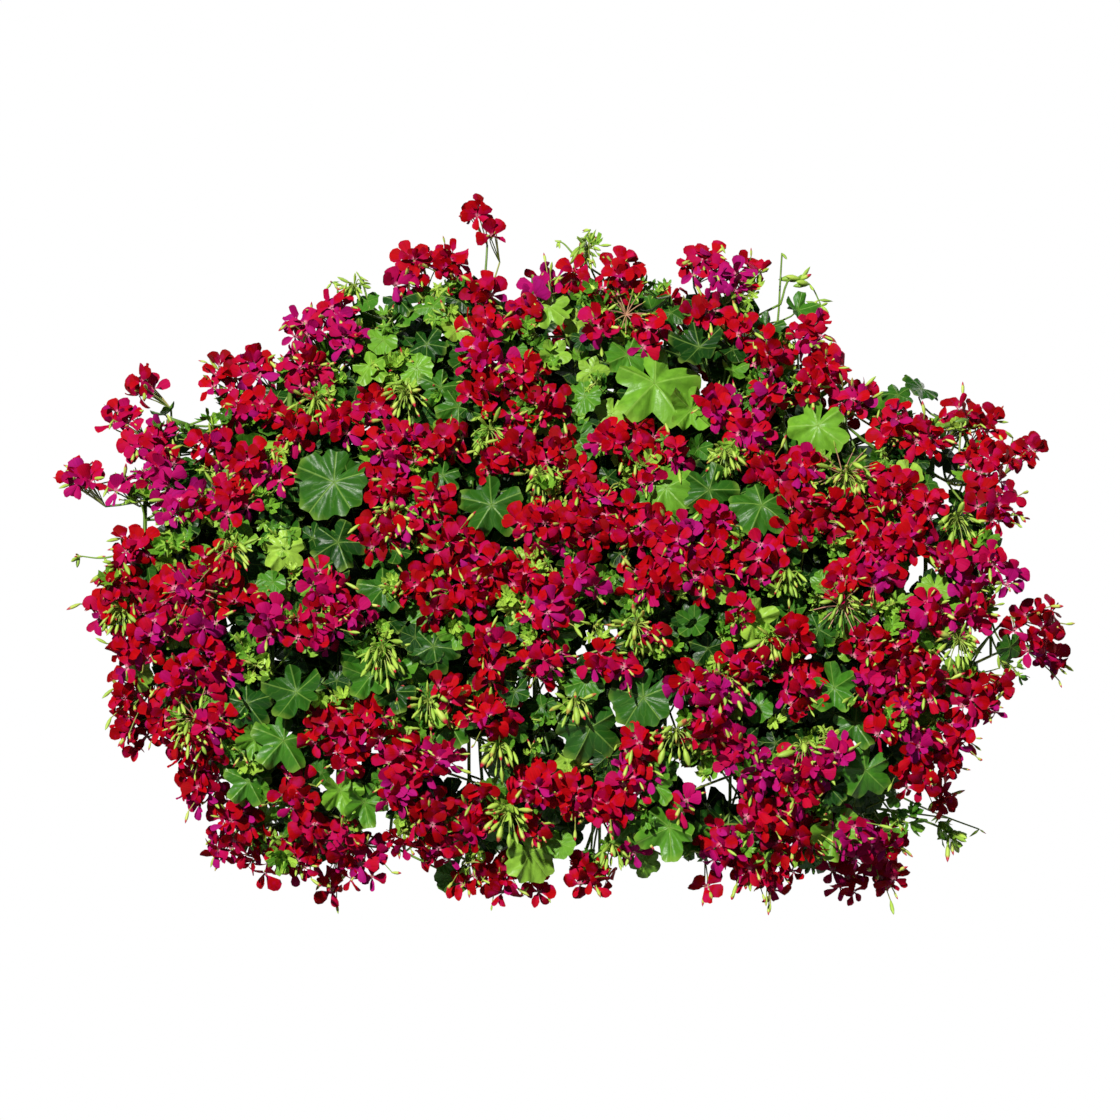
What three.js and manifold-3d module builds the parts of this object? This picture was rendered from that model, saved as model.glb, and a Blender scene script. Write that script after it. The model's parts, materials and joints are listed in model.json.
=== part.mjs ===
// A window box of trailing ivy-leaved geraniums, hung on a steel rail.
// Millimetres, +Z up. The origin is on the wall, at the middle of the rail's back face.
// +X runs along the box and -Y points away from the wall, towards the viewer.
import * as THREE from 'three';
import { mergeVertices } from 'three/addons/utils/BufferGeometryUtils.js';
import Module from 'manifold-3d';

const wasm = await Module();
wasm.setup();

// ---------------------------------------------------------------- driving dimensions

const GAP = 0.3; // clearance between pieces that touch

const TROUGH_LENGTH = 700; // outside, at the rim
const TROUGH_DEPTH = 190;
const TROUGH_HEIGHT = 180;
const TROUGH_BASE_Z = -85;
const TROUGH_BACK_Y = -9; // the rim's distance from the wall
const TROUGH_LEAN = 12; // how far each side leans in from rim to base
const TROUGH_WALL = 3;
const RIM_OVERHANG = 6;
const RIM_DEPTH = 14;
const DRAIN_HOLES = 5;
const DRAIN_RADIUS = 5;
const DRAIN_SPACING = 130;

const SOIL_BELOW_RIM = 18;
const SOIL_RIPPLE = 2.5; // height of the small mounds on the soil
const SOIL_RIPPLE_LENGTH = 17;
const SOIL_GRID = [10, 3]; // facets along and across the soil's top

const RAIL = { length: 640, height: 40, thickness: 4 };
const RAIL_SCREW_X = [-290, -110, 110, 290];
const RAIL_SCREW_RADIUS = 3.5;
const BRACKET_X = 200;
const BRACKET = { width: 30, thickness: 4, lip: 34 };

const STEM_COUNT = 14;
const STEM_SPACING = 70; // between the trailing ends
const ROOT_SQUEEZE = 0.7; // how much closer the stems stand in the soil
const ROOT_ROWS = [-72, -128]; // the two planting rows
const ROOT_DEPTH = 44;
const STEM_RADII = [3.6, 3]; // the stem and its upright shoot, where they start
const STEM_TIP_RADIUS = 2;
const STEM_SIDES = 4;
const STEM_STEPS = 10;
const STEM_RAISES = [0, 14, 28, -12, 40]; // heights tried for a stem's bend over the rim
const LEADER_STEPS = 4;
const ROOT_ZONE = 13; // how near its root a stalk may touch others of its own node

// The outline of the whole plant, seen from the front.
const HALF_SPREAD = 525;
const CROWN = { shoulder: 70, rise: 275, power: 1.5, roundness: 2.5 };
const SKIRT = { shoulder: -60, drop: 305, power: 4, roundness: 4 };
const OUTLINE_HALF = 505;
// How far the plant stands out from the wall: its middle plane, and the bulge before and behind it.
const MIDDLE = { mean: 160, swing: 50, centre: 60, length: 120 };
const BULGE_FRONT = 130;
const BULGE_BACK = -80;
const END_ROUNDNESS = 6;
const EDGE_LIMIT = 0.97; // past this share of the way out, the surface stays a little off the middle

const BLOOM_SCALE = 0.84; // a floret's radius as a share of the room it covers
const BLOOM_RADIUS = [21, 28];
const UMBEL_DEPTH = 36; // from the florets back to the point where their stalks meet
const UMBEL_CORE = 7;
const PEDICEL_RADIUS = 2.2;
const PEDUNCLE_RADIUS = [1.3, 2.2];
const PETIOLE_RADIUS = [1.9, 1.1];
const BUD = { tip: 8.4, radius: 3.8, count: 3, spread: 0.7, fork: 0.07, stalk: 1.8 };
const UMBEL_DROP = 6; // how far the core lies below the middle of its florets
const CORE_DEPTH = 5; // how far a stalk's point runs past the middle of the core
const FLORET_THICKNESS = 3; // at its middle; the petals thin out to their edges
const LEAF_THICKNESS = 2.8;
const STALK = { peduncle: 50, petiole: 62 }; // the natural lengths of flower and leaf stalks
const STEM_BEHIND = 56; // from the outer surface back to the trailing stems
const STEM_CLEAR = 7.6; // from the rim's front to the middle of a stem
const COLLAR_HEIGHT = 12; // a stem's straight foot above the soil
const BEND_LOWEST = 26; // the least and greatest height of a stem's bend over the rim
const BEND_HIGHEST = 62;
const BEND_RISE = 18;
const HANG_START = 14; // above the rim
const HANG_CLEAR = 48; // from the end of a hanging stem down to the outline
const HANG_SHORTEST = 90;
const LEADER_BELOW_CROWN = 70;
const LEADER_SHORTEST = 40;
const LEADER_FORWARD = 26;
const NODE_SHARES = [0, 0.34, 0.67, 0.97]; // where stalks can leave each length of a stem

// What is tried, in turn, to bend a floret clear of its neighbours.
const FLORET_TRIES = [
  { scale: 1, aside: 0 },
  { scale: 1, aside: 5 },
  { scale: 0.85, aside: 0 },
  { scale: 0.8, aside: 7 },
  { scale: 0.7, aside: 0 },
];
const FLORET_DEPTHS = [0, 6, -6, 12, -12, 18, -18, 24];
const THREE_WAYS = [0, 2, 4];

const COLOURS = {
  trough: { color: 0x2c3a2e, roughness: 0.55, metalness: 0 },
  soil: { color: 0x2e211a, roughness: 0.95, metalness: 0 },
  steel: { color: 0x3b3d3f, roughness: 0.45, metalness: 0.8 },
  leaf: { color: 0x4f9a2f, roughness: 0.4, metalness: 0 },
  red: { color: 0xc4001f, roughness: 0.6, metalness: 0 },
  magenta: { color: 0xb00a5a, roughness: 0.6, metalness: 0 },
};

// ---------------------------------------------------------------- the planting plan
// Each row is one bunch of umbels: [x, z, width of the tuft], read off the front by eye.
const BUNCHES = [
  [[-83, 325, 26], [-117, 278, 30], [-159, 272, 28], [-83, 212, 28], [-45, 228, 24]],
  [[-82, 182, 32], [-47, 162, 34], [-19, 132, 28]],
  [[8, 265, 22], [58, 255, 36], [33, 212, 26], [81, 208, 30]],
  [[139, 282, 32], [190, 274, 20], [141, 228, 28]],
  [[-264, 215, 32], [-222, 202, 24], [-267, 172, 34]],
  [[-345, 160, 34], [-302, 128, 24]],
  [[-419, 155, 28], [-407, 108, 32], [-489, 62, 28], [-385, 38, 36]],
  [[-354, 92, 32], [-317, 75, 34], [-272, 108, 28], [-227, 118, 30]],
  [[-172, 90, 38], [-122, 98, 32], [-135, 40, 26], [-187, 8, 32]],
  [[201, 185, 34], [245, 208, 30], [286, 138, 28], [245, 152, 26]],
  [[149, 130, 28], [185, 105, 32]],
  [[75, 93, 34]],
  [[-47, 92, 32], [-7, 86, 32]],
  [[330, 115, 30], [405, 120, 30], [465, 88, 24], [418, 75, 36], [423, 30, 34]],
  [[323, 52, 36], [301, -3, 36], [341, -2, 30], [235, 72, 28], [235, 22, 36]],
  [[378, -22, 26], [418, -22, 28], [355, -75, 34], [398, -75, 32]],
  [[-22, 15, 38], [25, 20, 40], [11, -38, 32]],
  [[73, 13, 36], [81, -42, 34], [149, 15, 30], [135, -32, 36], [189, -22, 36]],
  [[-117, -5, 38], [-149, -48, 28], [-99, -55, 36], [-42, -37, 30]],
  [[-19, -73, 32], [-81, -102, 28], [-22, -120, 34], [-117, -152, 26], [-77, -175, 34], [31, -123, 28],
    [84, -95, 20]],
  [[171, -72, 18], [223, -97, 24], [231, -150, 36], [151, -150, 36]],
  [[271, -40, 30], [328, -120, 36], [331, -168, 26]],
  [[468, -85, 36], [438, -148, 22], [385, -195, 30]],
  [[-239, -45, 30], [-245, -85, 38], [-295, -82, 30]],
  [[-429, -8, 30], [-442, -48, 30], [-387, -50, 32], [-349, -32, 32], [-359, -80, 28]],
  [[-407, -82, 34], [-432, -152, 36], [-355, -127, 38]],
  [[-439, -187, 30], [-372, -210, 34]],
  [[-332, -278, 36], [-269, -250, 32], [-305, -312, 36], [-205, -322, 34], [-237, -346, 20]],
  [[-162, -212, 34], [-167, -252, 28], [-102, -238, 22], [-237, -185, 34], [-197, -188, 36]],
  [[-167, -298, 20], [-127, -306, 32], [-89, -282, 32], [-67, -338, 30]],
  [[-29, -245, 34], [-31, -288, 18], [65, -236, 32], [33, -332, 32], [73, -310, 22]],
  [[168, -212, 34], [123, -258, 20], [223, -225, 28], [265, -212, 24]],
  [[341, -235, 28], [313, -195, 20]],
  [[151, -298, 36], [193, -275, 34], [228, -295, 36], [205, -332, 34], [139, -345, 14]],
  [[283, -298, 36], [281, -338, 32], [323, -338, 28]],
];
// Bunches on the side that faces the wall, above the soil.
const BACK_BUNCHES = [
  [[-290, 150, 28], [-252, 180, 28], [-232, 138, 26], [-268, 128, 22]],
  [[-160, 210, 28], [-122, 240, 28], [-105, 196, 28], [-140, 168, 24]],
  [[-18, 262, 28], [22, 232, 30], [-28, 216, 26], [14, 186, 26]],
  [[118, 238, 28], [158, 214, 28], [122, 188, 26], [160, 168, 24]],
  [[258, 182, 28], [292, 150, 28], [246, 138, 26], [276, 120, 22]],
];
const MAGENTA_BUNCHES = [5, 7, 16, 24, 32, 35];

// Leaves that show between the flowers: [x, z, radius].
const LEAVES = [
  [-172, 248, 20], [-142, 200, 20], [-127, 155, 22], [-199, 178, 20], [-19, 238, 24],
  [-14, 188, 18], [18, 145, 20], [88, 158, 48], [125, 132, 26], [61, 188, 24], [133, 195, 30],
  [251, 115, 38], [-232, 58, 42], [-227, -2, 28], [-280, -8, 24], [-124, 65, 20], [-75, 35, 34],
  [11, 102, 24], [98, 52, 28], [141, 50, 28], [193, 35, 34], [-182, -48, 26], [-267, -150, 32],
  [-195, -135, 26], [-317, -162, 24], [-280, -198, 30], [-317, -242, 24], [-225, -250, 22],
  [-132, -105, 26], [-115, -182, 24], [-52, -150, 16], [23, -185, 38], [75, -155, 34],
  [18, -140, 22], [88, -245, 22], [101, -285, 28], [-37, -312, 28], [78, -326, 16], [263, -146, 28],
  [278, -75, 22], [185, -80, 24], [125, -82, 18], [285, -182, 24], [295, -228, 28], [261, -248, 20],
  [265, -292, 26], [365, -48, 20], [369, 152, 22], [238, 240, 20], [203, 218, 20], [-357, 110, 16],
  [445, -108, 16], [73, -62, 18],
];

// Leaves on the side that faces the wall, and low over the soil.
const BACK_LEAVES = [
  [-325, 120, 30], [-215, 190, 30], [-190, 132, 34], [-85, 160, 32], [-70, 262, 30], [-52, 122, 34],
  [65, 262, 30], [62, 168, 34], [85, 128, 30], [205, 185, 30], [205, 128, 34], [325, 122, 30],
  [-140, 120, 28], [145, 122, 28], [-10, 300, 28], [20, 130, 28],
];

// Drooping clusters of buds: [x, z, reach].
const BUD_CLUSTERS = [
  [-332, -10, 26], [-447, -30, 18], [-217, 258, 15], [-252, 140, 20], [-162, 145, 22],
  [-172, 25, 22], [-182, -110, 26], [-372, -185, 20], [-27, 65, 20], [158, 85, 18], [68, -85, 20],
  [8, -160, 15], [108, -190, 20], [-57, -270, 20], [45, -305, 14], [218, -35, 18], [278, 65, 24],
  [388, 20, 20], [219, 278, 14], [21, 300, 18], [388, -100, 20], [385, -295, 16], [233, -205, 20],
];

// ---------------------------------------------------------------- small helpers

const vec = (x, y, z) => new THREE.Vector3(x, y, z);
const UP = vec(0, 0, 1);
const OUT = vec(0, -1, 0);
const FULL_TURN = 2 * Math.PI;
const radians = THREE.MathUtils.degToRad;
const lerp = THREE.MathUtils.lerp;
const clamp = THREE.MathUtils.clamp;

/** A repeatable stream of numbers from 0 to 1. */
function randomStream(seed) {
  let state = seed;
  return () => {
    state = (state + 0x6d2b79f5) | 0;
    let bits = Math.imul(state ^ (state >>> 15), 1 | state);
    bits = (bits + Math.imul(bits ^ (bits >>> 7), 61 | bits)) ^ bits;
    return ((bits ^ (bits >>> 14)) >>> 0) / 2 ** 32;
  };
}

/** A closed solid from a geometry whose faces point out. */
function solidOf(geometry) {
  const bare = geometry.clone();
  bare.deleteAttribute('normal');
  bare.deleteAttribute('uv');
  const merged = mergeVertices(bare, 1e-3);
  const vertProperties = new Float32Array(merged.attributes.position.array);
  const triVerts = new Uint32Array(merged.index.array);
  return new wasm.Manifold(new wasm.Mesh({ numProp: 3, vertProperties, triVerts }));
}

/** Signed volume of a triangle list; it is negative when the faces point in. */
function signedVolume(points, triangles) {
  let sum = 0;
  for (let i = 0; i < triangles.length; i += 3) {
    const [a, b, c] = [points[triangles[i]], points[triangles[i + 1]], points[triangles[i + 2]]];
    sum += a.dot(b.clone().cross(c));
  }
  return sum / 6;
}

/** Joins a chain of point rings into one closed skin. A ring of one point closes an end. */
function loft(rings) {
  const points = rings.flat();
  const triangles = [];
  let start = 0;
  for (let k = 0; k + 1 < rings.length; k++) {
    const [n, m] = [rings[k].length, rings[k + 1].length];
    const [first, second] = [start, start + n];
    const [stepsA, stepsB] = [n === 1 ? 0 : n, m === 1 ? 0 : m];
    let [i, j] = [0, 0];
    while (i < stepsA || j < stepsB) {
      const a = first + (i % n);
      const b = second + (j % m);
      if (j === stepsB || (i < stepsA && (i + 1) / n <= (j + 1) / m)) {
        i += 1;
        triangles.push(a, first + (i % n), b);
      } else {
        j += 1;
        triangles.push(a, second + (j % m), b);
      }
    }
    start += n;
  }
  if (signedVolume(points, triangles) < 0) {
    triangles.reverse();
  }
  const vertProperties = new Float32Array(points.flatMap((p) => [p.x, p.y, p.z]));
  const triVerts = new Uint32Array(triangles);
  return new wasm.Manifold(new wasm.Mesh({ numProp: 3, vertProperties, triVerts }));
}

/** Two directions square to an axis, the first as near to the given one as it can be. */
function crossAxes(axis, nearly) {
  const side = nearly.clone().addScaledVector(axis, -nearly.dot(axis));
  if (side.lengthSq() < 1e-6) {
    side.set(1, 0.1, 0.2).addScaledVector(axis, -vec(1, 0.1, 0.2).dot(axis));
  }
  side.normalize();
  return [side, axis.clone().cross(side)];
}

/** A round ring of points about a centre. */
function ringAt(centre, side, across, radius, count) {
  return Array.from({ length: count }, (_, i) => {
    const angle = (i / count) * FULL_TURN;
    return centre.clone()
      .addScaledVector(side, radius * Math.cos(angle))
      .addScaledVector(across, radius * Math.sin(angle));
  });
}

/** Rings along a path, from its first point to its last, whose radius runs from one to the other. */
function ringsAlong(path, startRadius, endRadius, sides, reference) {
  let nearly = reference;
  return path.map((point, i) => {
    const before = path[Math.max(0, i - 1)];
    const after = path[Math.min(path.length - 1, i + 1)];
    const axis = before.clone().sub(after).normalize();
    const [side, across] = crossAxes(axis, nearly);
    nearly = side;
    const radius = lerp(startRadius, endRadius, i / (path.length - 1));
    return ringAt(point, side, across, radius, sides);
  });
}

/** A solid rod along a path. */
function rod(path, startRadius, endRadius, sides) {
  const rings = ringsAlong(path, startRadius, endRadius, sides, vec(1, 0.1, 0.2));
  return loft([[path[0]], ...rings, [path[path.length - 1]]]);
}

/** A blade on a three-sided stalk: a front point, an outline ring, then the stalk to its root. */
function stalkedBlade(front, outline, neck, root, radii, reference) {
  const rings = ringsAlong([neck, root], radii[0], radii[1], 3, reference);
  return loft([[front], outline, ...(radii[1] > 0 ? rings : [rings[0]]), [root]]);
}

/** A point as far past the end of a line as asked. */
const beyond = (from, to, distance) => to.clone().add(to.clone().sub(from).setLength(distance));

/** A box whose sides lean evenly from its base to its top, standing on z = 0. */
function leaningBox(base, top, height, segments = [1, 1]) {
  const box = new THREE.BoxGeometry(1, 1, 1, segments[0], segments[1], 1);
  const position = box.attributes.position;
  for (let i = 0; i < position.count; i++) {
    const share = position.getZ(i) + 0.5;
    const x = position.getX(i) * lerp(base[0], top[0], share);
    const y = position.getY(i) * lerp(base[1], top[1], share);
    position.setXYZ(i, x, y, share * height);
  }
  return box;
}

/** A square-edged bar between two opposite corners. */
function bar(low, high) {
  const box = new THREE.BoxGeometry(high[0] - low[0], high[1] - low[1], high[2] - low[2]);
  box.translate((low[0] + high[0]) / 2, (low[1] + high[1]) / 2, (low[2] + high[2]) / 2);
  return solidOf(box);
}

/** One body from pieces that run into each other, without the loose scraps that a cut leaves. */
function fuse(pieces) {
  const bodies = pieces.reduce((whole, piece) => whole.add(piece)).decompose();
  return bodies.reduce((largest, body) => (body.volume() > largest.volume() ? body : largest));
}

// ---------------------------------------------------------------- the plant's outer surface

const crownZ = (x) => CROWN.shoulder + CROWN.rise * (1 - Math.abs(x / OUTLINE_HALF) ** CROWN.power);
const skirtZ = (x) => SKIRT.shoulder - SKIRT.drop * (1 - Math.abs(x / OUTLINE_HALF) ** SKIRT.power);
const middleY = (z) => -(MIDDLE.mean - MIDDLE.swing * Math.tanh((z - MIDDLE.centre) / MIDDLE.length));

/** How near a place is to the outline: 0 in the middle, 1 at the edge. */
function edgeShare(x, z) {
  const inside = clamp(x, -OUTLINE_HALF, OUTLINE_HALF);
  const [top, bottom] = [crownZ(inside), skirtZ(inside)];
  const height = (2 * z - top - bottom) / (top - bottom);
  const power = height > 0 ? CROWN.roundness : SKIRT.roundness;
  return Math.abs(height) ** power + (x / HALF_SPREAD) ** END_ROUNDNESS;
}

/** The point of the plant's outer surface at a place on the elevation, and the way it faces. */
function surfaceAt(x, z, bulge = BULGE_FRONT) {
  const share = edgeShare(x, z);
  const depth = bulge * Math.sqrt(1 - Math.min(share, EDGE_LIMIT));
  const step = 1;
  const normal = vec(
    (edgeShare(x + step, z) - share) / step,
    (-2 * depth) / bulge ** 2,
    (edgeShare(x, z + step) - share) / step,
  ).normalize();
  return { point: vec(x, middleY(z) - depth, z), normal };
}

// ---------------------------------------------------------------- trough, soil and holder

const troughTop = TROUGH_BASE_Z + TROUGH_HEIGHT;
const troughCentreY = TROUGH_BACK_Y - RIM_OVERHANG - TROUGH_DEPTH / 2;
const rimFront = troughCentreY - TROUGH_DEPTH / 2 - RIM_OVERHANG;
const soilTop = troughTop - SOIL_BELOW_RIM;

/** The space inside the trough's walls, pulled in by a clearance. */
function troughInside(inset, height, segments) {
  const lean = (2 * TROUGH_LEAN * height) / TROUGH_HEIGHT;
  const shrink = 2 * (TROUGH_LEAN + TROUGH_WALL + inset);
  const base = [TROUGH_LENGTH - shrink, TROUGH_DEPTH - shrink];
  return leaningBox(base, [base[0] + lean, base[1] + lean], height, segments);
}

/** The moulded trough: leaning walls, a turned-down rim and a row of drain holes. */
function makeTrough() {
  const shrink = 2 * TROUGH_LEAN;
  const base = [TROUGH_LENGTH - shrink, TROUGH_DEPTH - shrink];
  const shell = leaningBox(base, [TROUGH_LENGTH, TROUGH_DEPTH], TROUGH_HEIGHT);
  const rimSize = [TROUGH_LENGTH + 2 * RIM_OVERHANG, TROUGH_DEPTH + 2 * RIM_OVERHANG];
  const rim = leaningBox(rimSize, rimSize, RIM_DEPTH);
  rim.translate(0, 0, TROUGH_HEIGHT - RIM_DEPTH);
  const inside = troughInside(0, TROUGH_HEIGHT);
  inside.translate(0, 0, TROUGH_WALL);
  let trough = solidOf(shell).add(solidOf(rim)).subtract(solidOf(inside));
  for (let i = 0; i < DRAIN_HOLES; i++) {
    const hole = new THREE.CylinderGeometry(DRAIN_RADIUS, DRAIN_RADIUS, 4 * TROUGH_WALL, 8);
    hole.rotateX(Math.PI / 2);
    hole.translate((i - (DRAIN_HOLES - 1) / 2) * DRAIN_SPACING, 0, 0);
    trough = trough.subtract(solidOf(hole));
  }
  return trough.translate(0, troughCentreY, TROUGH_BASE_Z);
}

/** The potting soil, gently mounded, with a plain hole for each stem. */
function makeSoil(stems) {
  const height = soilTop - TROUGH_BASE_Z - TROUGH_WALL - GAP;
  const block = troughInside(GAP, height, SOIL_GRID);
  const position = block.attributes.position;
  for (let i = 0; i < position.count; i++) {
    if (position.getZ(i) > height / 2) {
      const [x, y] = [position.getX(i), position.getY(i)];
      const wave = Math.sin(x / SOIL_RIPPLE_LENGTH) * Math.cos(y / SOIL_RIPPLE_LENGTH + x);
      position.setZ(i, height + SOIL_RIPPLE * wave);
    }
  }
  block.translate(0, troughCentreY, TROUGH_BASE_Z + TROUGH_WALL + GAP);
  let soil = solidOf(block);
  for (const stem of stems) {
    const radius = STEM_RADII[0] + 2 * GAP;
    const hole = new THREE.CylinderGeometry(radius, radius, 2 * ROOT_DEPTH, 6);
    hole.rotateX(Math.PI / 2);
    hole.translate(stem.root.x, stem.root.y, soilTop);
    soil = soil.subtract(solidOf(hole));
  }
  return soil;
}

/** The flat steel rail that is screwed to the wall. */
function makeRail() {
  const [halfLength, halfHeight] = [RAIL.length / 2, RAIL.height / 2];
  let rail = bar([-halfLength, -RAIL.thickness, -halfHeight], [halfLength, 0, halfHeight]);
  for (const x of RAIL_SCREW_X) {
    const hole = new THREE.CylinderGeometry(RAIL_SCREW_RADIUS, RAIL_SCREW_RADIUS, 4 * RAIL.thickness, 8);
    hole.translate(x, 0, 0);
    rail = rail.subtract(solidOf(hole));
  }
  return rail;
}

/** One strap of bent steel: up the rail, under the trough and up its front. */
function makeBracket(x) {
  const half = BRACKET.width / 2;
  const back = -RAIL.thickness - GAP;
  const armTop = TROUGH_BASE_Z - GAP;
  const armBottom = armTop - BRACKET.thickness;
  const frontLean = (TROUGH_LEAN * BRACKET.lip) / TROUGH_HEIGHT;
  const baseFront = troughCentreY - TROUGH_DEPTH / 2 + TROUGH_LEAN;
  const lipBack = baseFront - frontLean - GAP;
  const lipFront = lipBack - BRACKET.thickness;
  const leg = bar([x - half, back - BRACKET.thickness, armBottom], [x + half, back, RAIL.height / 2]);
  const arm = bar([x - half, lipFront, armBottom], [x + half, back, armTop]);
  const lip = bar([x - half, lipFront, armBottom], [x + half, lipBack, armTop + BRACKET.lip]);
  return leg.add(arm).add(lip);
}

// ---------------------------------------------------------------- what stands where

const placed = [];

const boxOf = (solid) => {
  const { min, max } = solid.boundingBox();
  return { min, max };
};

const boxesMeet = (a, b) => [0, 1, 2].every((k) => a.min[k] < b.max[k] && b.min[k] < a.max[k]);

/** Notes a solid as standing, so that what comes later is bent clear of it. */
function keep(owner, solid) {
  placed.push({ owner, solid, box: boxOf(solid) });
  return solid;
}

/** Whether a solid would cut into one that already stands; those of its own node don't count. */
function crosses(solid, owner) {
  const box = boxOf(solid);
  return placed.some(
    (other) => other.owner !== owner && boxesMeet(box, other.box) && !solid.intersect(other.solid).isEmpty(),
  );
}

// ---------------------------------------------------------------- stems

const numbered = (name, index) => `${name}_${String(index + 1).padStart(2, '0')}`;

/** The course of one leafy stem: out of the soil, over the rim and down, with an upright leader. */
function planStem(number, raise) {
  const lane = (number - (STEM_COUNT - 1) / 2) * STEM_SPACING;
  const root = vec(lane * ROOT_SQUEEZE, ROOT_ROWS[number % 2], soilTop - ROOT_DEPTH);
  const towardsLane = (share) => lerp(root.x, lane, Math.min(share, 1));
  const towardsRim = (share) => lerp(root.y, rimFront, share);
  const apexZ = clamp(crownZ(lane) - STEM_BEHIND, troughTop + BEND_LOWEST, troughTop + BEND_HIGHEST) + raise;
  const hangTop = troughTop + HANG_START;
  const hangEnd = Math.min(skirtZ(lane) + HANG_CLEAR, hangTop - HANG_SHORTEST);
  const besideBox = Math.abs(lane) > TROUGH_LENGTH / 2 + STEM_SPACING / 2;
  const hangY = (x, z) => {
    const behind = surfaceAt(x, z).point.y + STEM_BEHIND;
    const belowBox = z < TROUGH_BASE_Z - STEM_SPACING;
    return besideBox || belowBox ? behind : Math.min(behind, rimFront - STEM_CLEAR);
  };
  const trunk = [
    vec(root.x, root.y, soilTop + COLLAR_HEIGHT),
    vec(towardsLane(0.25), towardsRim(0.35), apexZ - BEND_RISE),
    vec(towardsLane(0.6), towardsRim(0.85), apexZ),
  ];
  const hanging = [0, 0.22, 0.45, 0.7, 1].map((share) => {
    const z = lerp(hangTop, hangEnd, share);
    const x = towardsLane(0.85 + share);
    return vec(x, hangY(x, z), z);
  });
  const course = new THREE.CatmullRomCurve3([...trunk, ...hanging], false, 'centripetal');
  const leaderTop = crownZ(lane) - LEADER_BELOW_CROWN;
  if (leaderTop < apexZ + LEADER_SHORTEST) {
    return { root, course, leader: null };
  }
  const leader = new THREE.CatmullRomCurve3([
    course.getPoint(0.2),
    vec(towardsLane(0.8), lerp(root.y, middleY(apexZ), 0.6), lerp(apexZ, leaderTop, 0.35)),
    vec(lane, middleY(leaderTop) - LEADER_FORWARD, leaderTop),
  ]);
  return { root, course, leader };
}

/** The courses of a stem's rods, as the points that their rings stand at. */
function stemPaths(stem) {
  const main = [stem.root, ...stem.course.getPoints(STEM_STEPS)];
  return stem.leader ? [main, stem.leader.getPoints(LEADER_STEPS)] : [main];
}

/** The places on a stem where something can grow out, all above the soil. */
function budsOn(stem) {
  return stemPaths(stem).flatMap((path) => path.slice(1, -1).flatMap((point, i) => (
    NODE_SHARES.map((share) => point.clone().lerp(path[i + 2], share))
  )));
}

/** The rods that a stem is made of. */
function stemRods(stem, spare = 0) {
  return stemPaths(stem).map((path, i) => (
    rod(path, STEM_RADII[i] + spare, STEM_TIP_RADIUS + spare, STEM_SIDES)
  ));
}

// ---------------------------------------------------------------- florets, leaves and buds

const PETALS = 5;
const PETAL_CORNERS = [
  { turn: -36, reach: 0.26, lift: 0 },
  { turn: -20, reach: 0.94, lift: 0.1 },
  { turn: 17, reach: 1, lift: 0.16 },
];
const IVY_CORNERS = [
  { turn: -90, reach: 0.34, lift: 0.05 },
  { turn: -38, reach: 0.84, lift: -0.16 },
  { turn: -4, reach: 0.6, lift: 0.06 },
  { turn: 30, reach: 0.98, lift: -0.12 },
  { turn: 62, reach: 0.66, lift: 0.06 },
  { turn: 90, reach: 1.08, lift: -0.18 },
  { turn: 118, reach: 0.66, lift: 0.06 },
  { turn: 150, reach: 0.98, lift: -0.12 },
  { turn: 184, reach: 0.6, lift: 0.06 },
  { turn: 218, reach: 0.84, lift: -0.16 },
];

/** The outline of a blade: corners given by a turn, a reach and a lift out of its plane. */
function outline(centre, normal, side, across, radius, corners, spin) {
  return corners.map(({ turn, reach, lift }) => {
    const angle = radians(turn) + spin;
    return centre.clone()
      .addScaledVector(side, radius * reach * Math.cos(angle))
      .addScaledVector(across, radius * reach * Math.sin(angle))
      .addScaledVector(normal, radius * lift);
  });
}

/** A five-petalled floret on its stalk. A spare width fattens it for a clearance test. */
function floret({ centre, normal, radius, spin, root }, spare = 0) {
  const [side, across] = crossAxes(normal, UP);
  const corners = Array.from({ length: PETALS }, (_, petal) => PETAL_CORNERS.map(
    (corner) => ({ ...corner, turn: corner.turn + (petal * 360) / PETALS }),
  )).flat();
  const ring = outline(centre, normal, side, across, radius + 2 * spare, corners, spin);
  const neck = centre.clone().addScaledVector(normal, -FLORET_THICKNESS - spare);
  const front = centre.clone().addScaledVector(normal, spare);
  const towards = side.clone().applyAxisAngle(normal, spin);
  return stalkedBlade(front, ring, neck, beyond(neck, root, CORE_DEPTH), [PEDICEL_RADIUS + spare, 0], towards);
}

/** A five-lobed ivy leaf, its stalk joined near the middle of its back. */
function leaf({ centre, normal, radius, spin, root }, spare = 0) {
  const [side, across] = crossAxes(normal, vec(1, 0, 0));
  const ring = outline(centre, normal, side, across, radius + 2 * spare, IVY_CORNERS, spin);
  const neck = centre.clone().addScaledVector(normal, -LEAF_THICKNESS - spare);
  const front = centre.clone().addScaledVector(normal, spare);
  const towards = vec(0, 0, -1).applyAxisAngle(normal, spin);
  const radii = PETIOLE_RADIUS.map((value) => value + spare);
  return stalkedBlade(front, ring, neck, root, radii, towards);
}

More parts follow.
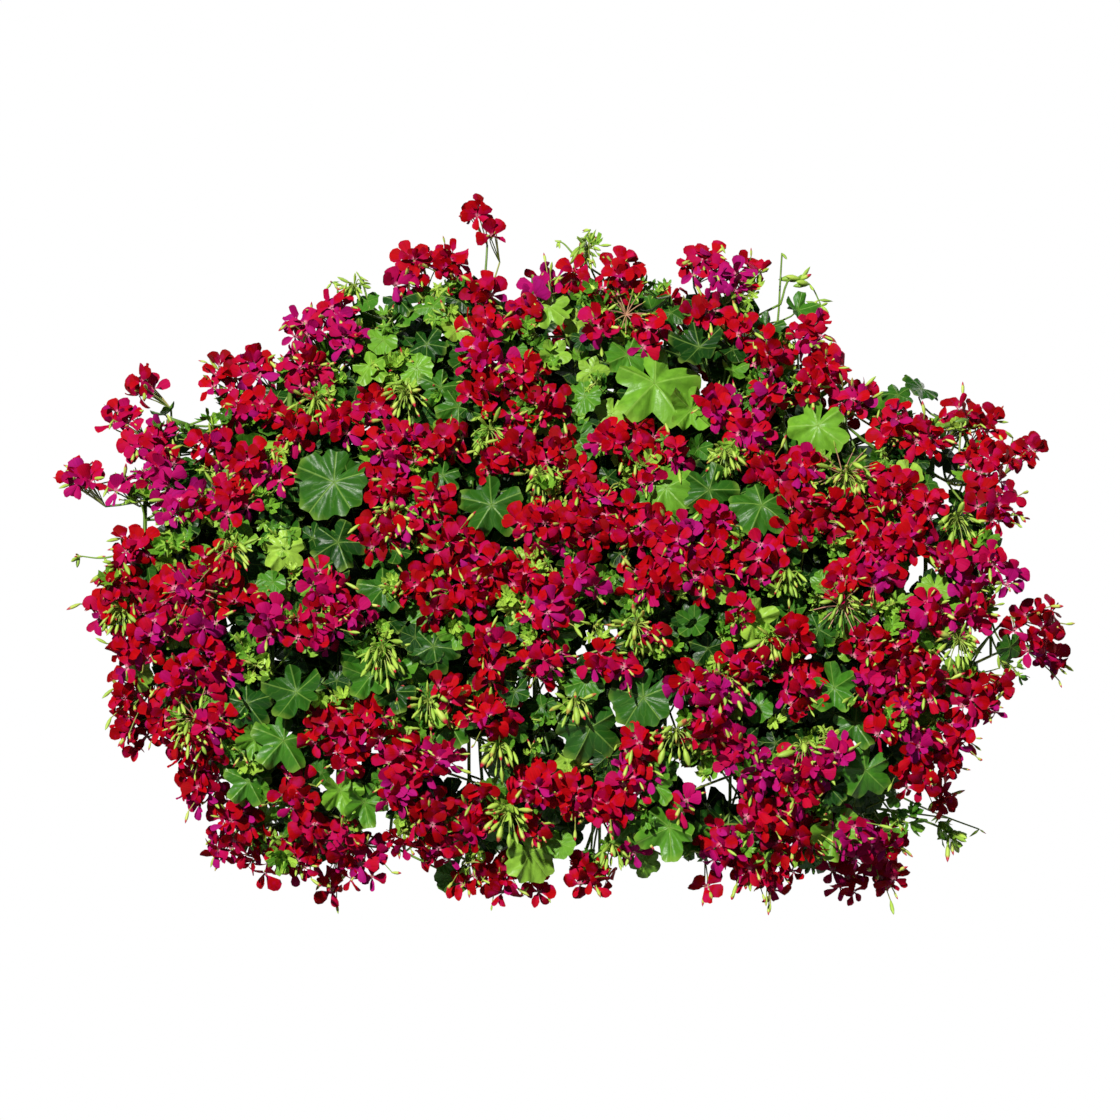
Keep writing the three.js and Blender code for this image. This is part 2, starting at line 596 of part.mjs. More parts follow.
/** A cluster of spindle buds that droop from the end of their shared stalk. */
function budCluster({ centre, reach, spin, root }, spare = 0) {
  let solid = rod([beyond(centre, root, 1), centre], BUD.stalk + spare, BUD.stalk + spare, 3);
  for (let i = 0; i < BUD.count; i++) {
    const angle = spin + (i / BUD.count) * FULL_TURN;
    const outward = vec(Math.cos(angle), -0.55, 0.3 * Math.sin(angle)).normalize();
    const droop = vec(outward.x / 2, outward.y / 2, -1).normalize();
    const fork = centre.clone().lerp(root, BUD.fork * (i + 0.5));
    const belly = fork.clone().addScaledVector(outward, reach * BUD.spread).addScaledVector(droop, BUD.radius);
    const tip = belly.clone().addScaledVector(droop, BUD.tip + spare);
    const [side, across] = crossAxes(droop, vec(1, 0, 0));
    const ring = ringAt(belly, side, across, BUD.radius + spare, 3);
    solid = solid.add(loft([[tip], ring, [beyond(belly, fork, 1)]]));
  }
  return solid;
}

/** The first of some choices that stands clear of every other node, or none. */
function firstClear(make, choices) {
  return choices.find((choice) => !crosses(make(choice, GAP), choice.owner));
}

/** As firstClear, but clear of its own node too except close to its root, where there is room. */
function firstOpen(make, choices) {
  const cutShort = (choice) => {
    const back = choice.centre.clone().sub(choice.root);
    const root = choice.root.clone().add(back.setLength(Math.min(back.length() / 2, ROOT_ZONE)));
    return make({ ...choice, root });
  };
  const open = choices.filter((choice) => !crosses(cutShort(choice), ''));
  return firstClear(make, open) ?? firstClear(make, choices);
}

// ---------------------------------------------------------------- planting

const random = randomStream(20);
const spread = (amount) => (random() * 2 - 1) * amount;
const stems = Array.from({ length: STEM_COUNT }, (_, i) => {
  const owner = numbered('leafy_stem', i);
  const courses = STEM_RAISES.map((raise) => ({ owner, ...planStem(i, raise) }));
  const stem = firstClear((course, spare) => fuse(stemRods(course, spare)), courses);
  stemRods(stem).forEach((solid) => keep(owner, solid));
  return stem;
});
const stemPieces = new Map(stems.map((stem) => [stem.owner, stemRods(stem)]));

const hardware = [
  ['trough', makeTrough(), COLOURS.trough],
  ['soil', makeSoil(stems), COLOURS.soil],
  ['wall_rail', makeRail(), COLOURS.steel],
  ['bracket_left', makeBracket(-BRACKET_X), COLOURS.steel],
  ['bracket_right', makeBracket(BRACKET_X), COLOURS.steel],
];
hardware.forEach(([name, solid]) => keep(name, solid));

/** The small solid core where the stalks of a bunch meet. */
function umbelCore({ point }, spare = 0) {
  const core = new THREE.OctahedronGeometry(UMBEL_CORE + 2 * spare, 0);
  core.translate(point.x, point.y, point.z);
  return solidOf(core);
}

/** The middle of a bunch, behind the mean of its florets and a little below it. */
function bunchCore(bunch, bulge, owner) {
  const mean = (k) => bunch.reduce((sum, tuft) => sum + tuft[k], 0) / bunch.length;
  const { point, normal } = surfaceAt(mean(0), mean(1) - UMBEL_DROP, bulge);
  const choices = [0, -5, 5, -10, 10, 16].flatMap((depth) => [0, -7, 7, 14, -14].map((aside) => ({
    owner,
    point: point.clone().addScaledVector(normal, depth - UMBEL_DEPTH).add(vec(aside, 0, 0)),
  })));
  return firstClear(umbelCore, choices).point;
}

/** The ways a floret may stand in its place, the natural one first. */
function floretChoices([x, z, room], core, owner, bulge) {
  const { point, normal } = surfaceAt(x, z, bulge);
  const natural = normal.clone().addScaledVector(OUT, bulge > 0 ? 0.5 : 0).addScaledVector(UP, 0.12);
  natural.add(vec(spread(0.28), spread(0.1), spread(0.28))).normalize();
  const radius = clamp(room * BLOOM_SCALE, BLOOM_RADIUS[0], BLOOM_RADIUS[1]);
  const spin = random() * FULL_TURN;
  const unevenness = spread(5);
  return FLORET_TRIES.flatMap(({ scale, aside }) => FLORET_DEPTHS.flatMap((depth) => (
    (aside ? THREE_WAYS : [0]).map((turn) => ({
      owner,
      centre: point.clone()
        .addScaledVector(normal, unevenness + depth)
        .add(vec(aside * Math.cos(turn), 0, aside * Math.sin(turn))),
      normal: natural,
      radius: radius * scale,
      spin,
      root: core,
    }))
  )));
}

const bunches = [...BUNCHES, ...BACK_BUNCHES].map((tufts, index) => {
  const bulge = index < BUNCHES.length ? BULGE_FRONT : BULGE_BACK;
  const name = numbered('blooms', index);
  const point = bunchCore(tufts, bulge, name);
  const bunch = {
    name,
    core: point,
    finish: MAGENTA_BUNCHES.includes(index + 1) ? COLOURS.magenta : COLOURS.red,
    socket: umbelCore({ point }, GAP),
    solids: [keep(name, umbelCore({ point }))],
  };
  for (const tuft of tufts) {
    const chosen = firstOpen(floret, floretChoices(tuft, point, name, bulge));
    if (chosen) {
      bunch.solids.push(keep(name, floret(chosen)));
    }
  }
  return bunch;
});

/** Places on the nearest stems from which a stalk could reach a point, nearest to a given length. */
function stalkRoots(target, length, mostStems, perStem) {
  return stems
    .map((stem) => {
      const places = budsOn(stem)
        .map((place) => ({
          owner: stem.owner,
          root: place,
          miss: Math.abs(place.distanceTo(target) - length),
        }))
        .sort((a, b) => a.miss - b.miss);
      return places.slice(0, perStem);
    })
    .sort((a, b) => a[0].miss - b[0].miss)
    .slice(0, mostStems)
    .flat()
    .sort((a, b) => a.miss - b.miss);
}

for (const bunch of bunches) {
  const peduncle = ({ root, sag }, spare = 0) => {
    const middle = root.clone().lerp(bunch.core, 0.5).addScaledVector(UP, sag);
    const path = [root, middle, bunch.core];
    return rod(path, PEDUNCLE_RADIUS[0] + spare, PEDUNCLE_RADIUS[1] + spare, 3).subtract(bunch.socket);
  };
  const choices = stalkRoots(bunch.core, STALK.peduncle, 4, 10).flatMap((root) => (
    [-8, 4, -18, 14].map((sag) => ({ ...root, sag, centre: bunch.core }))
  ));
  const chosen = firstOpen(peduncle, choices);
  if (chosen) {
    stemPieces.get(chosen.owner).push(keep(chosen.owner, peduncle(chosen)));
  }
}

const leafPlaces = [
  ...LEAVES.map((place) => ({ place, bulge: BULGE_FRONT })),
  ...BACK_LEAVES.map((place) => ({ place, bulge: BULGE_BACK })),
];
for (const { place: [x, z, radius], bulge } of leafPlaces) {
  const { point, normal } = surfaceAt(x, z, bulge);
  const facing = normal.clone().addScaledVector(UP, 0.35).addScaledVector(OUT, bulge > 0 ? 0.3 : 0);
  facing.add(vec(spread(0.3), 0, spread(0.25))).normalize();
  const spin = spread(0.7);
  const choices = [];
  for (const scale of [1, 0.85, 0.7]) {
    for (const depth of [-10, -18, 0, -26, 8, -34]) {
      const centre = point.clone().addScaledVector(normal, depth);
      for (const root of stalkRoots(centre, STALK.petiole, 3, 6)) {
        choices.push({ ...root, centre, normal: facing, radius: radius * scale, spin });
      }
    }
  }
  const chosen = firstOpen(leaf, choices);
  if (chosen) {
    stemPieces.get(chosen.owner).push(keep(chosen.owner, leaf(chosen)));
  }
}

for (const [x, z, reach] of BUD_CLUSTERS) {
  const { point, normal } = surfaceAt(x, z);
  const spin = random() * FULL_TURN;
  const choices = [];
  for (const depth of [-4, -12, 4, -20, 12]) {
    const centre = point.clone().addScaledVector(normal, depth);
    for (const root of stalkRoots(centre, STALK.petiole, 3, 6)) {
      choices.push({ ...root, centre, reach, spin });
    }
  }
  const chosen = firstOpen(budCluster, choices);
  if (chosen) {
    stemPieces.get(chosen.owner).push(keep(chosen.owner, budCluster(chosen)));
  }
}

// ---------------------------------------------------------------- the whole object


/** A mesh for a solid, in its own colour. */
function meshOf(name, solid, finish) {
  const { vertProperties, triVerts } = solid.getMesh();
  const geometry = new THREE.BufferGeometry();
  geometry.setAttribute('position', new THREE.BufferAttribute(vertProperties, 3));
  geometry.setIndex(new THREE.BufferAttribute(triVerts, 1));
  const mesh = new THREE.Mesh(geometry.toNonIndexed(), new THREE.MeshStandardMaterial(finish));
  mesh.geometry.computeVertexNormals();
  mesh.name = name;
  return mesh;
}

const windowBox = new THREE.Group();
hardware.forEach(([name, solid, finish]) => windowBox.add(meshOf(name, solid, finish)));
stemPieces.forEach((pieces, name) => windowBox.add(meshOf(name, fuse(pieces), COLOURS.leaf)));
bunches.forEach(({ name, solids, finish }) => windowBox.add(meshOf(name, fuse(solids), finish)));
export default windowBox;
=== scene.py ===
"""A window box of trailing ivy-leaved geraniums, held on a steel rail.

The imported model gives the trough, rail, brackets and soil, and the place of each leafy stem and
each bunch of flowers. This script dresses the hard parts, and grows the stems, leaves, buds and
flowers at their true number and size from the same planting plan. Plans and the plant's form are
in millimetres in the model's own frame, with +Z up, +X along the box and -Y towards the viewer.
"""

import json
import logging
import math
import random
from collections.abc import Callable
from dataclasses import dataclass, field
from enum import Enum
from functools import partial

import bpy
import numpy as np
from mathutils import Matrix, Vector

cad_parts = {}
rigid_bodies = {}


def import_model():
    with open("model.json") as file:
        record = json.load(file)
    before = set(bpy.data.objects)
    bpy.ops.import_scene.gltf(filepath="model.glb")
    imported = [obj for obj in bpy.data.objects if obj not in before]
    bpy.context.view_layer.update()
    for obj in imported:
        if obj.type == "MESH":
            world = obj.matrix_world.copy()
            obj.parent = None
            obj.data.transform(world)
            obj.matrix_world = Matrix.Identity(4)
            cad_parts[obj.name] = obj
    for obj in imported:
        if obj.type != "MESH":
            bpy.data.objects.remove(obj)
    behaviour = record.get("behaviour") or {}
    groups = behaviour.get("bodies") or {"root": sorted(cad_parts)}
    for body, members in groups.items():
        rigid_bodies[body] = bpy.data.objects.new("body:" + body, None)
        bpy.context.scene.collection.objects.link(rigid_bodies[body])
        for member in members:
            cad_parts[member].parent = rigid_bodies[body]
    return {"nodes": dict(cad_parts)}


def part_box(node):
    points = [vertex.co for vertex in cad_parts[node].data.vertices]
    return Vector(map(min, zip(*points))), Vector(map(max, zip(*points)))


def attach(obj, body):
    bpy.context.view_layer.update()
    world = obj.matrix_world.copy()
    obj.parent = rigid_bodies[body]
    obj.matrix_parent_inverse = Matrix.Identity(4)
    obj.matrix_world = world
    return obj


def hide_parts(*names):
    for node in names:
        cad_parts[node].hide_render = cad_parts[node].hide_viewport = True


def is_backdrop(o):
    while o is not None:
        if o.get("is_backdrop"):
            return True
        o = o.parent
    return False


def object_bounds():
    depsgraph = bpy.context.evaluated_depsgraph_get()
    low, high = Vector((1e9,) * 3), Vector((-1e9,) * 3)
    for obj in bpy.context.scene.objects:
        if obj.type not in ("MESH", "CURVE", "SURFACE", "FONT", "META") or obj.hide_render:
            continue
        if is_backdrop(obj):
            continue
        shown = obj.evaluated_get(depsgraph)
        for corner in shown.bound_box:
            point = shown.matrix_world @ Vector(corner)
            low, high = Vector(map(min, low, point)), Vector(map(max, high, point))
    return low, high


LOG = logging.getLogger("window_box")
MM = 0.001
FULL_TURN = 2 * math.pi
UP = Vector((0, 0, 1))
OUT = Vector((0, -1, 0))
ALONG = Vector((1, 0, 0))
THREAD = (0.75, 0.6)  # the radii of a bud's stalk at its foot and its tip

# ---------------------------------------------------------------- the planting plan
# All places are (x, z) in millimetres, judged from the front, and a third number is a reach.
# Each row is one bunch of flowers, as tufts of florets.
BUNCHES = (
    ((-92, 332, 21), (-76, 308, 8), (-117, 278, 30), (-153, 279, 30), (-168, 258, 18), (-85, 248, 26),
     (-83, 212, 28), (-45, 228, 24), (-32, 252, 16)),
    ((-82, 182, 32), (-47, 162, 34), (-85, 148, 28), (-19, 132, 28), (-55, 116, 18)),
    ((8, 265, 22), (52, 263, 34), (33, 212, 26), (81, 208, 30)),
    ((139, 282, 32), (171, 262, 28), (190, 274, 20), (141, 228, 28), (175, 210, 22)),
    ((-237, 232, 28), (-264, 215, 32), (-222, 202, 24), (-267, 172, 34)),
    ((-315, 175, 28), (-346, 166, 34), (-329, 132, 24), (-302, 128, 24)),
    ((-428, 156, 26), (-452, 124, 28), (-417, 102, 30), (-432, 94, 20), (-489, 60, 30), (-409, 70, 32),
     (-385, 38, 36), (-447, 52, 20)),
    ((-354, 92, 32), (-317, 75, 34), (-335, 40, 32), (-289, 60, 20), (-272, 108, 28), (-227, 118, 30),
     (-193, 135, 28)),
    ((-172, 90, 38), (-122, 98, 32), (-175, 52, 32), (-135, 40, 26), (-187, 8, 32), (-159, 8, 20)),
    ((201, 185, 34), (245, 208, 30), (262, 174, 28), (286, 138, 28), (245, 152, 26)),
    ((198, 142, 28), (149, 130, 28), (185, 105, 32), (199, 70, 32)),
    ((43, 100, 26), (75, 93, 34), (108, 82, 22), (80, 56, 20)),
    ((-47, 92, 32), (-7, 86, 32), (15, 58, 26), (-75, 75, 26)),
    ((330, 115, 30), (363, 100, 28), (404, 123, 32), (428, 114, 20), (468, 90, 25), (422, 75, 36),
     (428, 32, 36)),
    ((323, 52, 36), (355, 32, 30), (301, -3, 36), (341, -2, 30), (235, 72, 28), (235, 22, 36),
     (281, 28, 34)),
    ((378, -22, 26), (418, -22, 28), (400, -50, 22), (438, -42, 20), (355, -75, 34), (398, -75, 32)),
    ((-22, 15, 38), (25, 20, 40), (11, -38, 32)),
    ((73, 13, 36), (110, -2, 36), (81, -42, 34), (149, 15, 30), (135, -32, 36), (189, -22, 36)),
    ((-117, -5, 38), (-149, -48, 28), (-99, -55, 36), (-129, -72, 24), (-75, -25, 32), (-42, -37, 30)),
    ((-19, -73, 32), (-81, -102, 28), (-75, -128, 26), (-22, -120, 34), (-117, -152, 26), (-77, -175, 34),
     (31, -123, 28), (55, -128, 24), (84, -95, 20)),
    ((171, -72, 18), (223, -97, 24), (231, -150, 36), (151, -150, 36), (178, -128, 32), (119, -140, 26)),
    ((271, -40, 30), (309, -32, 30), (295, -102, 32), (328, -120, 36), (301, -142, 32), (355, -142, 34),
     (331, -168, 26)),
    ((471, -88, 40), (486, -118, 26), (431, -146, 19), (396, -158, 28), (418, -168, 18), (385, -195, 30)),
    ((-239, -45, 30), (-245, -85, 38), (-295, -82, 30), (-209, -72, 28)),
    ((-429, -8, 30), (-442, -48, 30), (-462, -72, 26), (-387, -50, 32), (-349, -32, 32), (-325, -58, 20),
     (-359, -80, 28)),
    ((-407, -82, 34), (-432, -110, 34), (-438, -158, 36), (-387, -142, 28), (-355, -127, 38)),
    ((-434, -190, 34), (-402, -180, 24), (-372, -210, 34), (-352, -185, 34), (-362, -245, 34)),
    ((-332, -278, 36), (-269, -250, 32), (-345, -308, 26), (-305, -312, 36), (-267, -318, 32),
     (-255, -285, 28), (-225, -298, 26), (-205, -322, 34), (-237, -346, 20)),
    ((-162, -212, 34), (-127, -218, 30), (-167, -252, 28), (-84, -252, 18), (-237, -185, 34),
     (-197, -188, 36), (-217, -217, 28)),
    ((-137, -272, 30), (-167, -298, 20), (-127, -306, 32), (-89, -282, 32), (-67, -338, 30),
     (-98, -338, 18), (-32, -344, 20)),
    ((-29, -245, 34), (8, -255, 34), (41, -262, 30), (-31, -288, 18), (65, -236, 32), (71, -202, 28),
     (24, -336, 30), (66, -307, 18)),
    ((141, -187, 32), (168, -212, 34), (116, -262, 18), (193, -235, 30), (223, -225, 28), (245, -225, 24),
     (233, -250, 26), (265, -212, 24)),
    ((345, -205, 26), (341, -235, 28), (378, -222, 24), (373, -258, 24), (308, -186, 16)),
    ((151, -303, 32), (193, -275, 34), (228, -295, 36), (181, -327, 30), (205, -332, 34),
     (139, -345, 14)),
    ((283, -298, 36), (281, -338, 32), (318, -305, 30), (323, -338, 28)),
)
# Bunches on the side that faces the wall, above the soil.
BACK_BUNCHES = (
    ((-290, 150, 32), (-252, 180, 32), (-232, 138, 30), (-268, 128, 26)),
    ((-160, 210, 32), (-122, 240, 32), (-105, 196, 32), (-140, 168, 28)),
    ((-18, 262, 32), (22, 232, 34), (-28, 216, 30), (14, 186, 30)),
    ((118, 238, 32), (158, 214, 32), (122, 188, 30), (160, 168, 28)),
    ((258, 182, 32), (292, 150, 32), (246, 138, 30), (276, 120, 26)),
)
# The bunches that lean to magenta, and how far that and the red ones do.
MAGENTA_BUNCHES = {5: 0.6, 7: 0.6, 16: 0.5, 24: 0.6, 32: 0.6, 35: 0.25}
RED_LEAN = 0.4
# Leaves that are seen between the bunches.
LEAVES = (
    (-172, 248, 20), (-137, 240, 18), (-112, 215, 18), (-142, 200, 20), (-187, 205, 18), (-152, 175, 20),
    (-127, 155, 22), (-109, 135, 22), (-199, 178, 20), (-19, 238, 24), (-14, 188, 18), (18, 205, 16),
    (25, 172, 18), (18, 145, 20), (88, 158, 48), (125, 132, 26), (61, 188, 24), (133, 195, 30),
    (168, 195, 16), (251, 115, 38), (-232, 58, 42), (-227, -2, 28), (-280, -8, 24), (-292, -42, 16),
    (-124, 65, 20), (-75, 35, 34), (11, 102, 24), (98, 52, 28), (141, 50, 28), (193, 35, 34),
    (-182, -48, 26), (-267, -150, 32), (-195, -135, 26), (-170, -150, 20), (-317, -162, 24),
    (-280, -198, 30), (-309, -198, 20), (-317, -242, 24), (-225, -250, 22), (-201, -262, 22),
    (-132, -105, 26), (-107, -88, 20), (-115, -182, 24), (-52, -150, 16), (23, -185, 38), (75, -155, 34),
    (18, -140, 22), (39, -215, 18), (88, -245, 22), (101, -285, 28), (65, -282, 26), (-37, -312, 28),
    (-67, -292, 18), (78, -326, 16), (263, -146, 28), (278, -75, 22), (248, -88, 22), (185, -80, 24),
    (125, -82, 18), (285, -182, 24), (295, -228, 28), (261, -248, 20), (265, -292, 26), (365, -48, 20),
    (338, 152, 18), (366, 160, 22), (238, 240, 20), (203, 218, 20), (-357, 110, 16), (445, -108, 16),
    (-7, -305, 16), (73, -62, 18),
)
# Those that stand out most, by place: how bright each is, and its kind.
NOTED_LEAVES = {
    (88, 158): (0.8, 0), (125, 132): (0.8, 3), (-232, 58): (0.42, 2), (-227, -2): (0.25, 0),
    (-280, -8): (0.95, 1), (251, 115): (0.8, 1), (133, 195): (0.2, 3), (-75, 35): (0.4, 0),
    (193, 35): (0.45, 1), (98, 52): (0.75, 1), (141, 50): (0.4, 0), (23, -185): (0.35, 1),
    (75, -155): (0.4, 2), (-280, -198): (0.55, 0), (-267, -150): (0.38, 3), (295, -228): (0.55, 1),
    (-317, -162): (0.3, 1), (-317, -242): (0.55, 0), (65, -282): (0.6, 1), (101, -285): (0.65, 3),
}
# Leaves on the side that faces the wall, and low over the soil.
BACK_LEAVES = (
    (-325, 120, 30), (-215, 190, 30), (-190, 132, 34), (-85, 160, 32), (-70, 228, 30), (-52, 122, 34),
    (65, 238, 30), (62, 168, 34), (85, 128, 30), (205, 185, 30), (205, 128, 34), (325, 122, 30),
    (-140, 120, 28), (145, 122, 28), (-10, 246, 28), (20, 130, 28),
)
# Clusters of lime buds.
BUD_CLUSTERS = (
    (-332, -10, 26), (-447, -30, 18), (-442, -72, 16), (-217, 258, 15), (-252, 140, 20), (-162, 145, 22),
    (-172, 25, 22), (-182, -110, 26), (-137, -160, 18), (-372, -185, 20), (-77, 110, 16), (-27, 65, 20),
    (158, 85, 18), (68, -85, 20), (8, -160, 15), (108, -190, 20), (-57, -270, 20), (-67, -205, 18),
    (45, -305, 14), (218, -35, 18), (275, -60, 18), (278, 65, 24), (158, -140, 18), (388, 20, 20),
    (21, 296, 16), (388, -100, 20), (385, -295, 10), (233, -205, 20), (201, -100, 16),
)
# Umbels whose petals have dropped, all pale stalks.
BARE_UMBELS = ((275, 65, 30), (-370, -50, 32), (-367, -178, 28), (271, -65, 28), (60, 228, 22))
# Gaps that stay free of leaves, so that the light shows through.
SKY_GAPS = (
    (-42, -148, 13), (51, -172, 12), (-193, 149, 10), (141, 170, 12), (108, 193, 10), (255, 169, 10),
    (-11, 215, 12), (383, 75, 12), (383, 50, 12), (363, -15, 14), (-108, -224, 30), (146, -264, 28),
    (162, -276, 18), (313, -210, 22), (-247, -265, 22), (30, -298, 16), (-217, -223, 14), (-176, -314, 24),
    (-15, -350, 16), (88, -342, 30), (158, -355, 14), (240, -355, 12), (415, -118, 14), (-378, 120, 12),
    (296, 124, 11), (105, -176, 13),
)
# Loose shoots that stand clear of the mass: the places that they pass, then how many buds and
# bracts they carry and how long those are.
SPRIGS = (
    (((205, 170), (214, 225), (218, 262), (220, 294)), 2, 9),
    (((217, 240), (230, 268), (248, 262), (260, 240)), 18, 16),
    (((2, 250), (8, 280), (18, 306), (24, 316)), 16, 12),
    (((10, 285), (-2, 300), (-8, 304)), 4, 9),
    (((300, -238), (345, -262), (385, -280), (415, -291)), 4, 10),
    (((385, -280), (380, -288), (382, -296)), 5, 9),
    (((-430, -10), (-462, -18), (-488, -16)), 7, 13),
    (((-215, 235), (-225, 258), (-240, 264)), 8, 11),
    (((-200, 235), (-208, 262), (-212, 270)), 6, 10),
    (((-410, 60), (-440, 62), (-478, 56)), 6, 12),
)
# The edge of the whole plant, seen from the front.
EDGE = (
    (-449, 110), (-458, 66), (-452, 40), (-417, 25), (-442, 0), (-479, -60), (-467, -110), (-462, -160),
    (-457, -190), (-436, -208), (-402, -208), (-387, -250), (-362, -295), (-347, -310), (-327, -340),
    (-257, -362), (-205, -352), (-192, -314), (-158, -306), (-148, -330), (-112, -362), (-22, -362),
    (-15, -344), (-7, -362), (53, -362), (65, -330), (123, -330), (130, -362), (148, -362), (158, -345),
    (173, -362), (208, -362), (238, -346), (253, -362), (338, -362), (338, -325), (350, -275), (375, -238),
    (408, -188), (445, -150), (493, -128), (433, -110), (398, -90), (423, -60), (441, -35), (449, 5),
    (450, 60), (438, 112), (415, 145), (368, 165), (323, 150), (313, 145), (268, 168), (254, 212),
    (238, 240), (220, 262), (201, 262), (145, 290), (88, 268), (43, 275), (18, 283), (-20, 266),
    (-44, 240), (-62, 236), (-80, 270), (-102, 300), (-152, 288), (-179, 270), (-222, 262), (-247, 250),
    (-282, 222), (-307, 192), (-352, 182), (-367, 152), (-370, 120), (-386, 106), (-398, 118), (-412, 160),
    (-462, 140),
)


# ---------------------------------------------------------------- small helpers


def linear(colour: str) -> tuple[float, float, float, float]:
    """Turns an sRGB hex colour into linear values.

    Args:
        colour: six hex digits.

    Returns:
        Red, green, blue and an alpha of 1.
    """
    parts = [int(colour[i : i + 2], 16) / 255 for i in (0, 2, 4)]
    red, green, blue = [c / 12.92 if c <= 0.04045 else ((c + 0.055) / 1.055) ** 2.4 for c in parts]
    return red, green, blue, 1.0


def add_node(
    tree: bpy.types.NodeTree, kind: str, given: dict | tuple = (), **settings: object
) -> bpy.types.Node:
    """Adds a node to a tree.

    Args:
        tree: the shader or geometry tree.
        kind: the node's type.
        given: what its inputs get, by name or in their order: a value, a hex colour, a socket, a
            node for its first output, or a list of these.
        settings: the node's own properties, and the (place, hex colour) stops of a ramp.

    Returns:
        The node.
    """
    node = tree.nodes.new(kind)
    stops = settings.pop("stops", ())
    for name, value in settings.items():
        setattr(node, name, value)
    for place, _ in stops[2:]:
        node.color_ramp.elements.new(place)
    for i, (place, _) in enumerate(stops):
        node.color_ramp.elements[i].position = place
    for i, (_, colour) in enumerate(stops):
        node.color_ramp.elements[i].color = linear(colour)
    live = [s for s in node.inputs if s.enabled]
    for key, value in (given if isinstance(given, dict) else dict(enumerate(given))).items():
        socket = live[key] if isinstance(key, int) else next(s for s in live if s.name == key)
        for source in value if isinstance(value, list) else [value]:
            if isinstance(source, bpy.types.Node):
                source = next(s for s in source.outputs if s.enabled)
            if isinstance(source, bpy.types.NodeSocket):
                tree.links.new(source, socket)
            else:
                is_colour = socket.type == "RGBA" and isinstance(source, str)
                socket.default_value = linear(source) if is_colour else source
    return node


def lerp(a: float, b: float, share: float) -> float:
    """The value at a share of the way from a to b."""
    return a + (b - a) * share


def clamp(value: float, low: float, high: float) -> float:
    """The value, held between two limits."""
    return max(low, min(high, value))


def shake(draw: random.Random, x: float, y: float, z: float) -> Vector:
    """A random offset of up to x, y and z, either way."""
    return Vector((draw.uniform(-x, x), draw.uniform(-y, y), draw.uniform(-z, z)))


def spoke_at(side: Vector, across: Vector, angle: float) -> Vector:
    """The direction at an angle from side towards across."""
    return side * math.cos(angle) + across * math.sin(angle)


def cross_axes(axis: Vector, nearly: Vector) -> tuple[Vector, Vector]:
    """Two directions square to an axis.

    Args:
        axis: the axis, of length 1.
        nearly: what the first direction comes as near to as it can.

    Returns:
        The two directions.
    """
    side = nearly - axis * axis.dot(nearly)
    if side.length < 1e-3:
        side = Vector((1, 0.1, 0.2)) - axis * axis.dot(Vector((1, 0.1, 0.2)))
    side.normalize()
    return side, axis.cross(side)


def bezier(start: Vector, bend: Vector, end: Vector, steps: int) -> list[Vector]:
    """Points on a curve from start to end that leans towards bend."""
    shares = [i / steps for i in range(steps + 1)]
    return [start * (1 - t) ** 2 + bend * (2 * t * (1 - t)) + end * t * t for t in shares]


def inside_edge(x: float, z: float) -> bool:
    """Tells whether a place lies inside the edge of the plant.

    Args:
        x: its place along the box.
        z: its height.

    Returns:
        True where it is inside, seen from the front.
    """
    odd = False
    for (x1, z1), (x2, z2) in zip(EDGE, EDGE[1:] + EDGE[:1]):
        if (z1 > z) != (z2 > z) and x < x1 + (z - z1) * (x2 - x1) / (z2 - z1):
            odd = not odd
    return odd


# ---------------------------------------------------------------- the form of the plant


@dataclass(frozen=True)
class Crown:
    """The outer surface of the whole plant in millimetres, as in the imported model."""

    half: float = 505
    half_spread: float = 525
    shoulder: float = 70
    rise: float = 275
    crown_power: float = 1.5
    skirt_shoulder: float = -60
    skirt_drop: float = 305
    skirt_power: float = 4
    crown_roundness: float = 2.5
    skirt_roundness: float = 4
    end_roundness: float = 6
    front: float = 130
    back: float = -80
    edge_limit: float = 0.97
    middle_depth: float = 160
    middle_swing: float = 50  # how much the crown leans back and the skirt forward
    swing_height: float = 60
    swing_reach: float = 120

    def top(self, x: float) -> float:
        """The height of the crown at a place along the box."""
        return self.shoulder + self.rise * (1 - abs(x / self.half) ** self.crown_power)

    def bottom(self, x: float) -> float:
        """The height of the trailing ends at a place along the box."""
        return self.skirt_shoulder - self.skirt_drop * (1 - abs(x / self.half) ** self.skirt_power)

    def middle(self, z: float) -> float:
        """How far the plant's middle plane stands from the wall at a height, as a Y value."""
        swing = math.tanh((z - self.swing_height) / self.swing_reach)
        return self.middle_swing * swing - self.middle_depth

    def share(self, x: float, z: float) -> float:
        """How near a place is to the outline.

        Args:
            x: the place along the box.
            z: its height.

        Returns:
            0 in the middle, 1 at the edge and more beyond it.
        """
        held = clamp(x, -self.half, self.half)
        top, bottom = self.top(held), self.bottom(held)
        height = (2 * z - top - bottom) / (top - bottom)
        power = self.crown_roundness if height > 0 else self.skirt_roundness
        return abs(height) ** power + (x / self.half_spread) ** self.end_roundness

    def surface(self, x: float, z: float, bulge: float) -> tuple[Vector, Vector]:
        """A place on the outer surface.

        Args:
            x: the place along the box.
            z: its height.
            bulge: how far the surface stands out from the middle plane; negative at the back.

        Returns:
            The point and the way the surface faces there.
        """
        share = self.share(x, z)
        depth = bulge * math.sqrt(1 - min(share, self.edge_limit))
        across, upward = self.share(x + 1, z) - share, self.share(x, z + 1) - share
        lean = Vector((across, -2 * depth / bulge**2, upward))
        return Vector((x, self.middle(z) - depth, z)), lean.normalized()


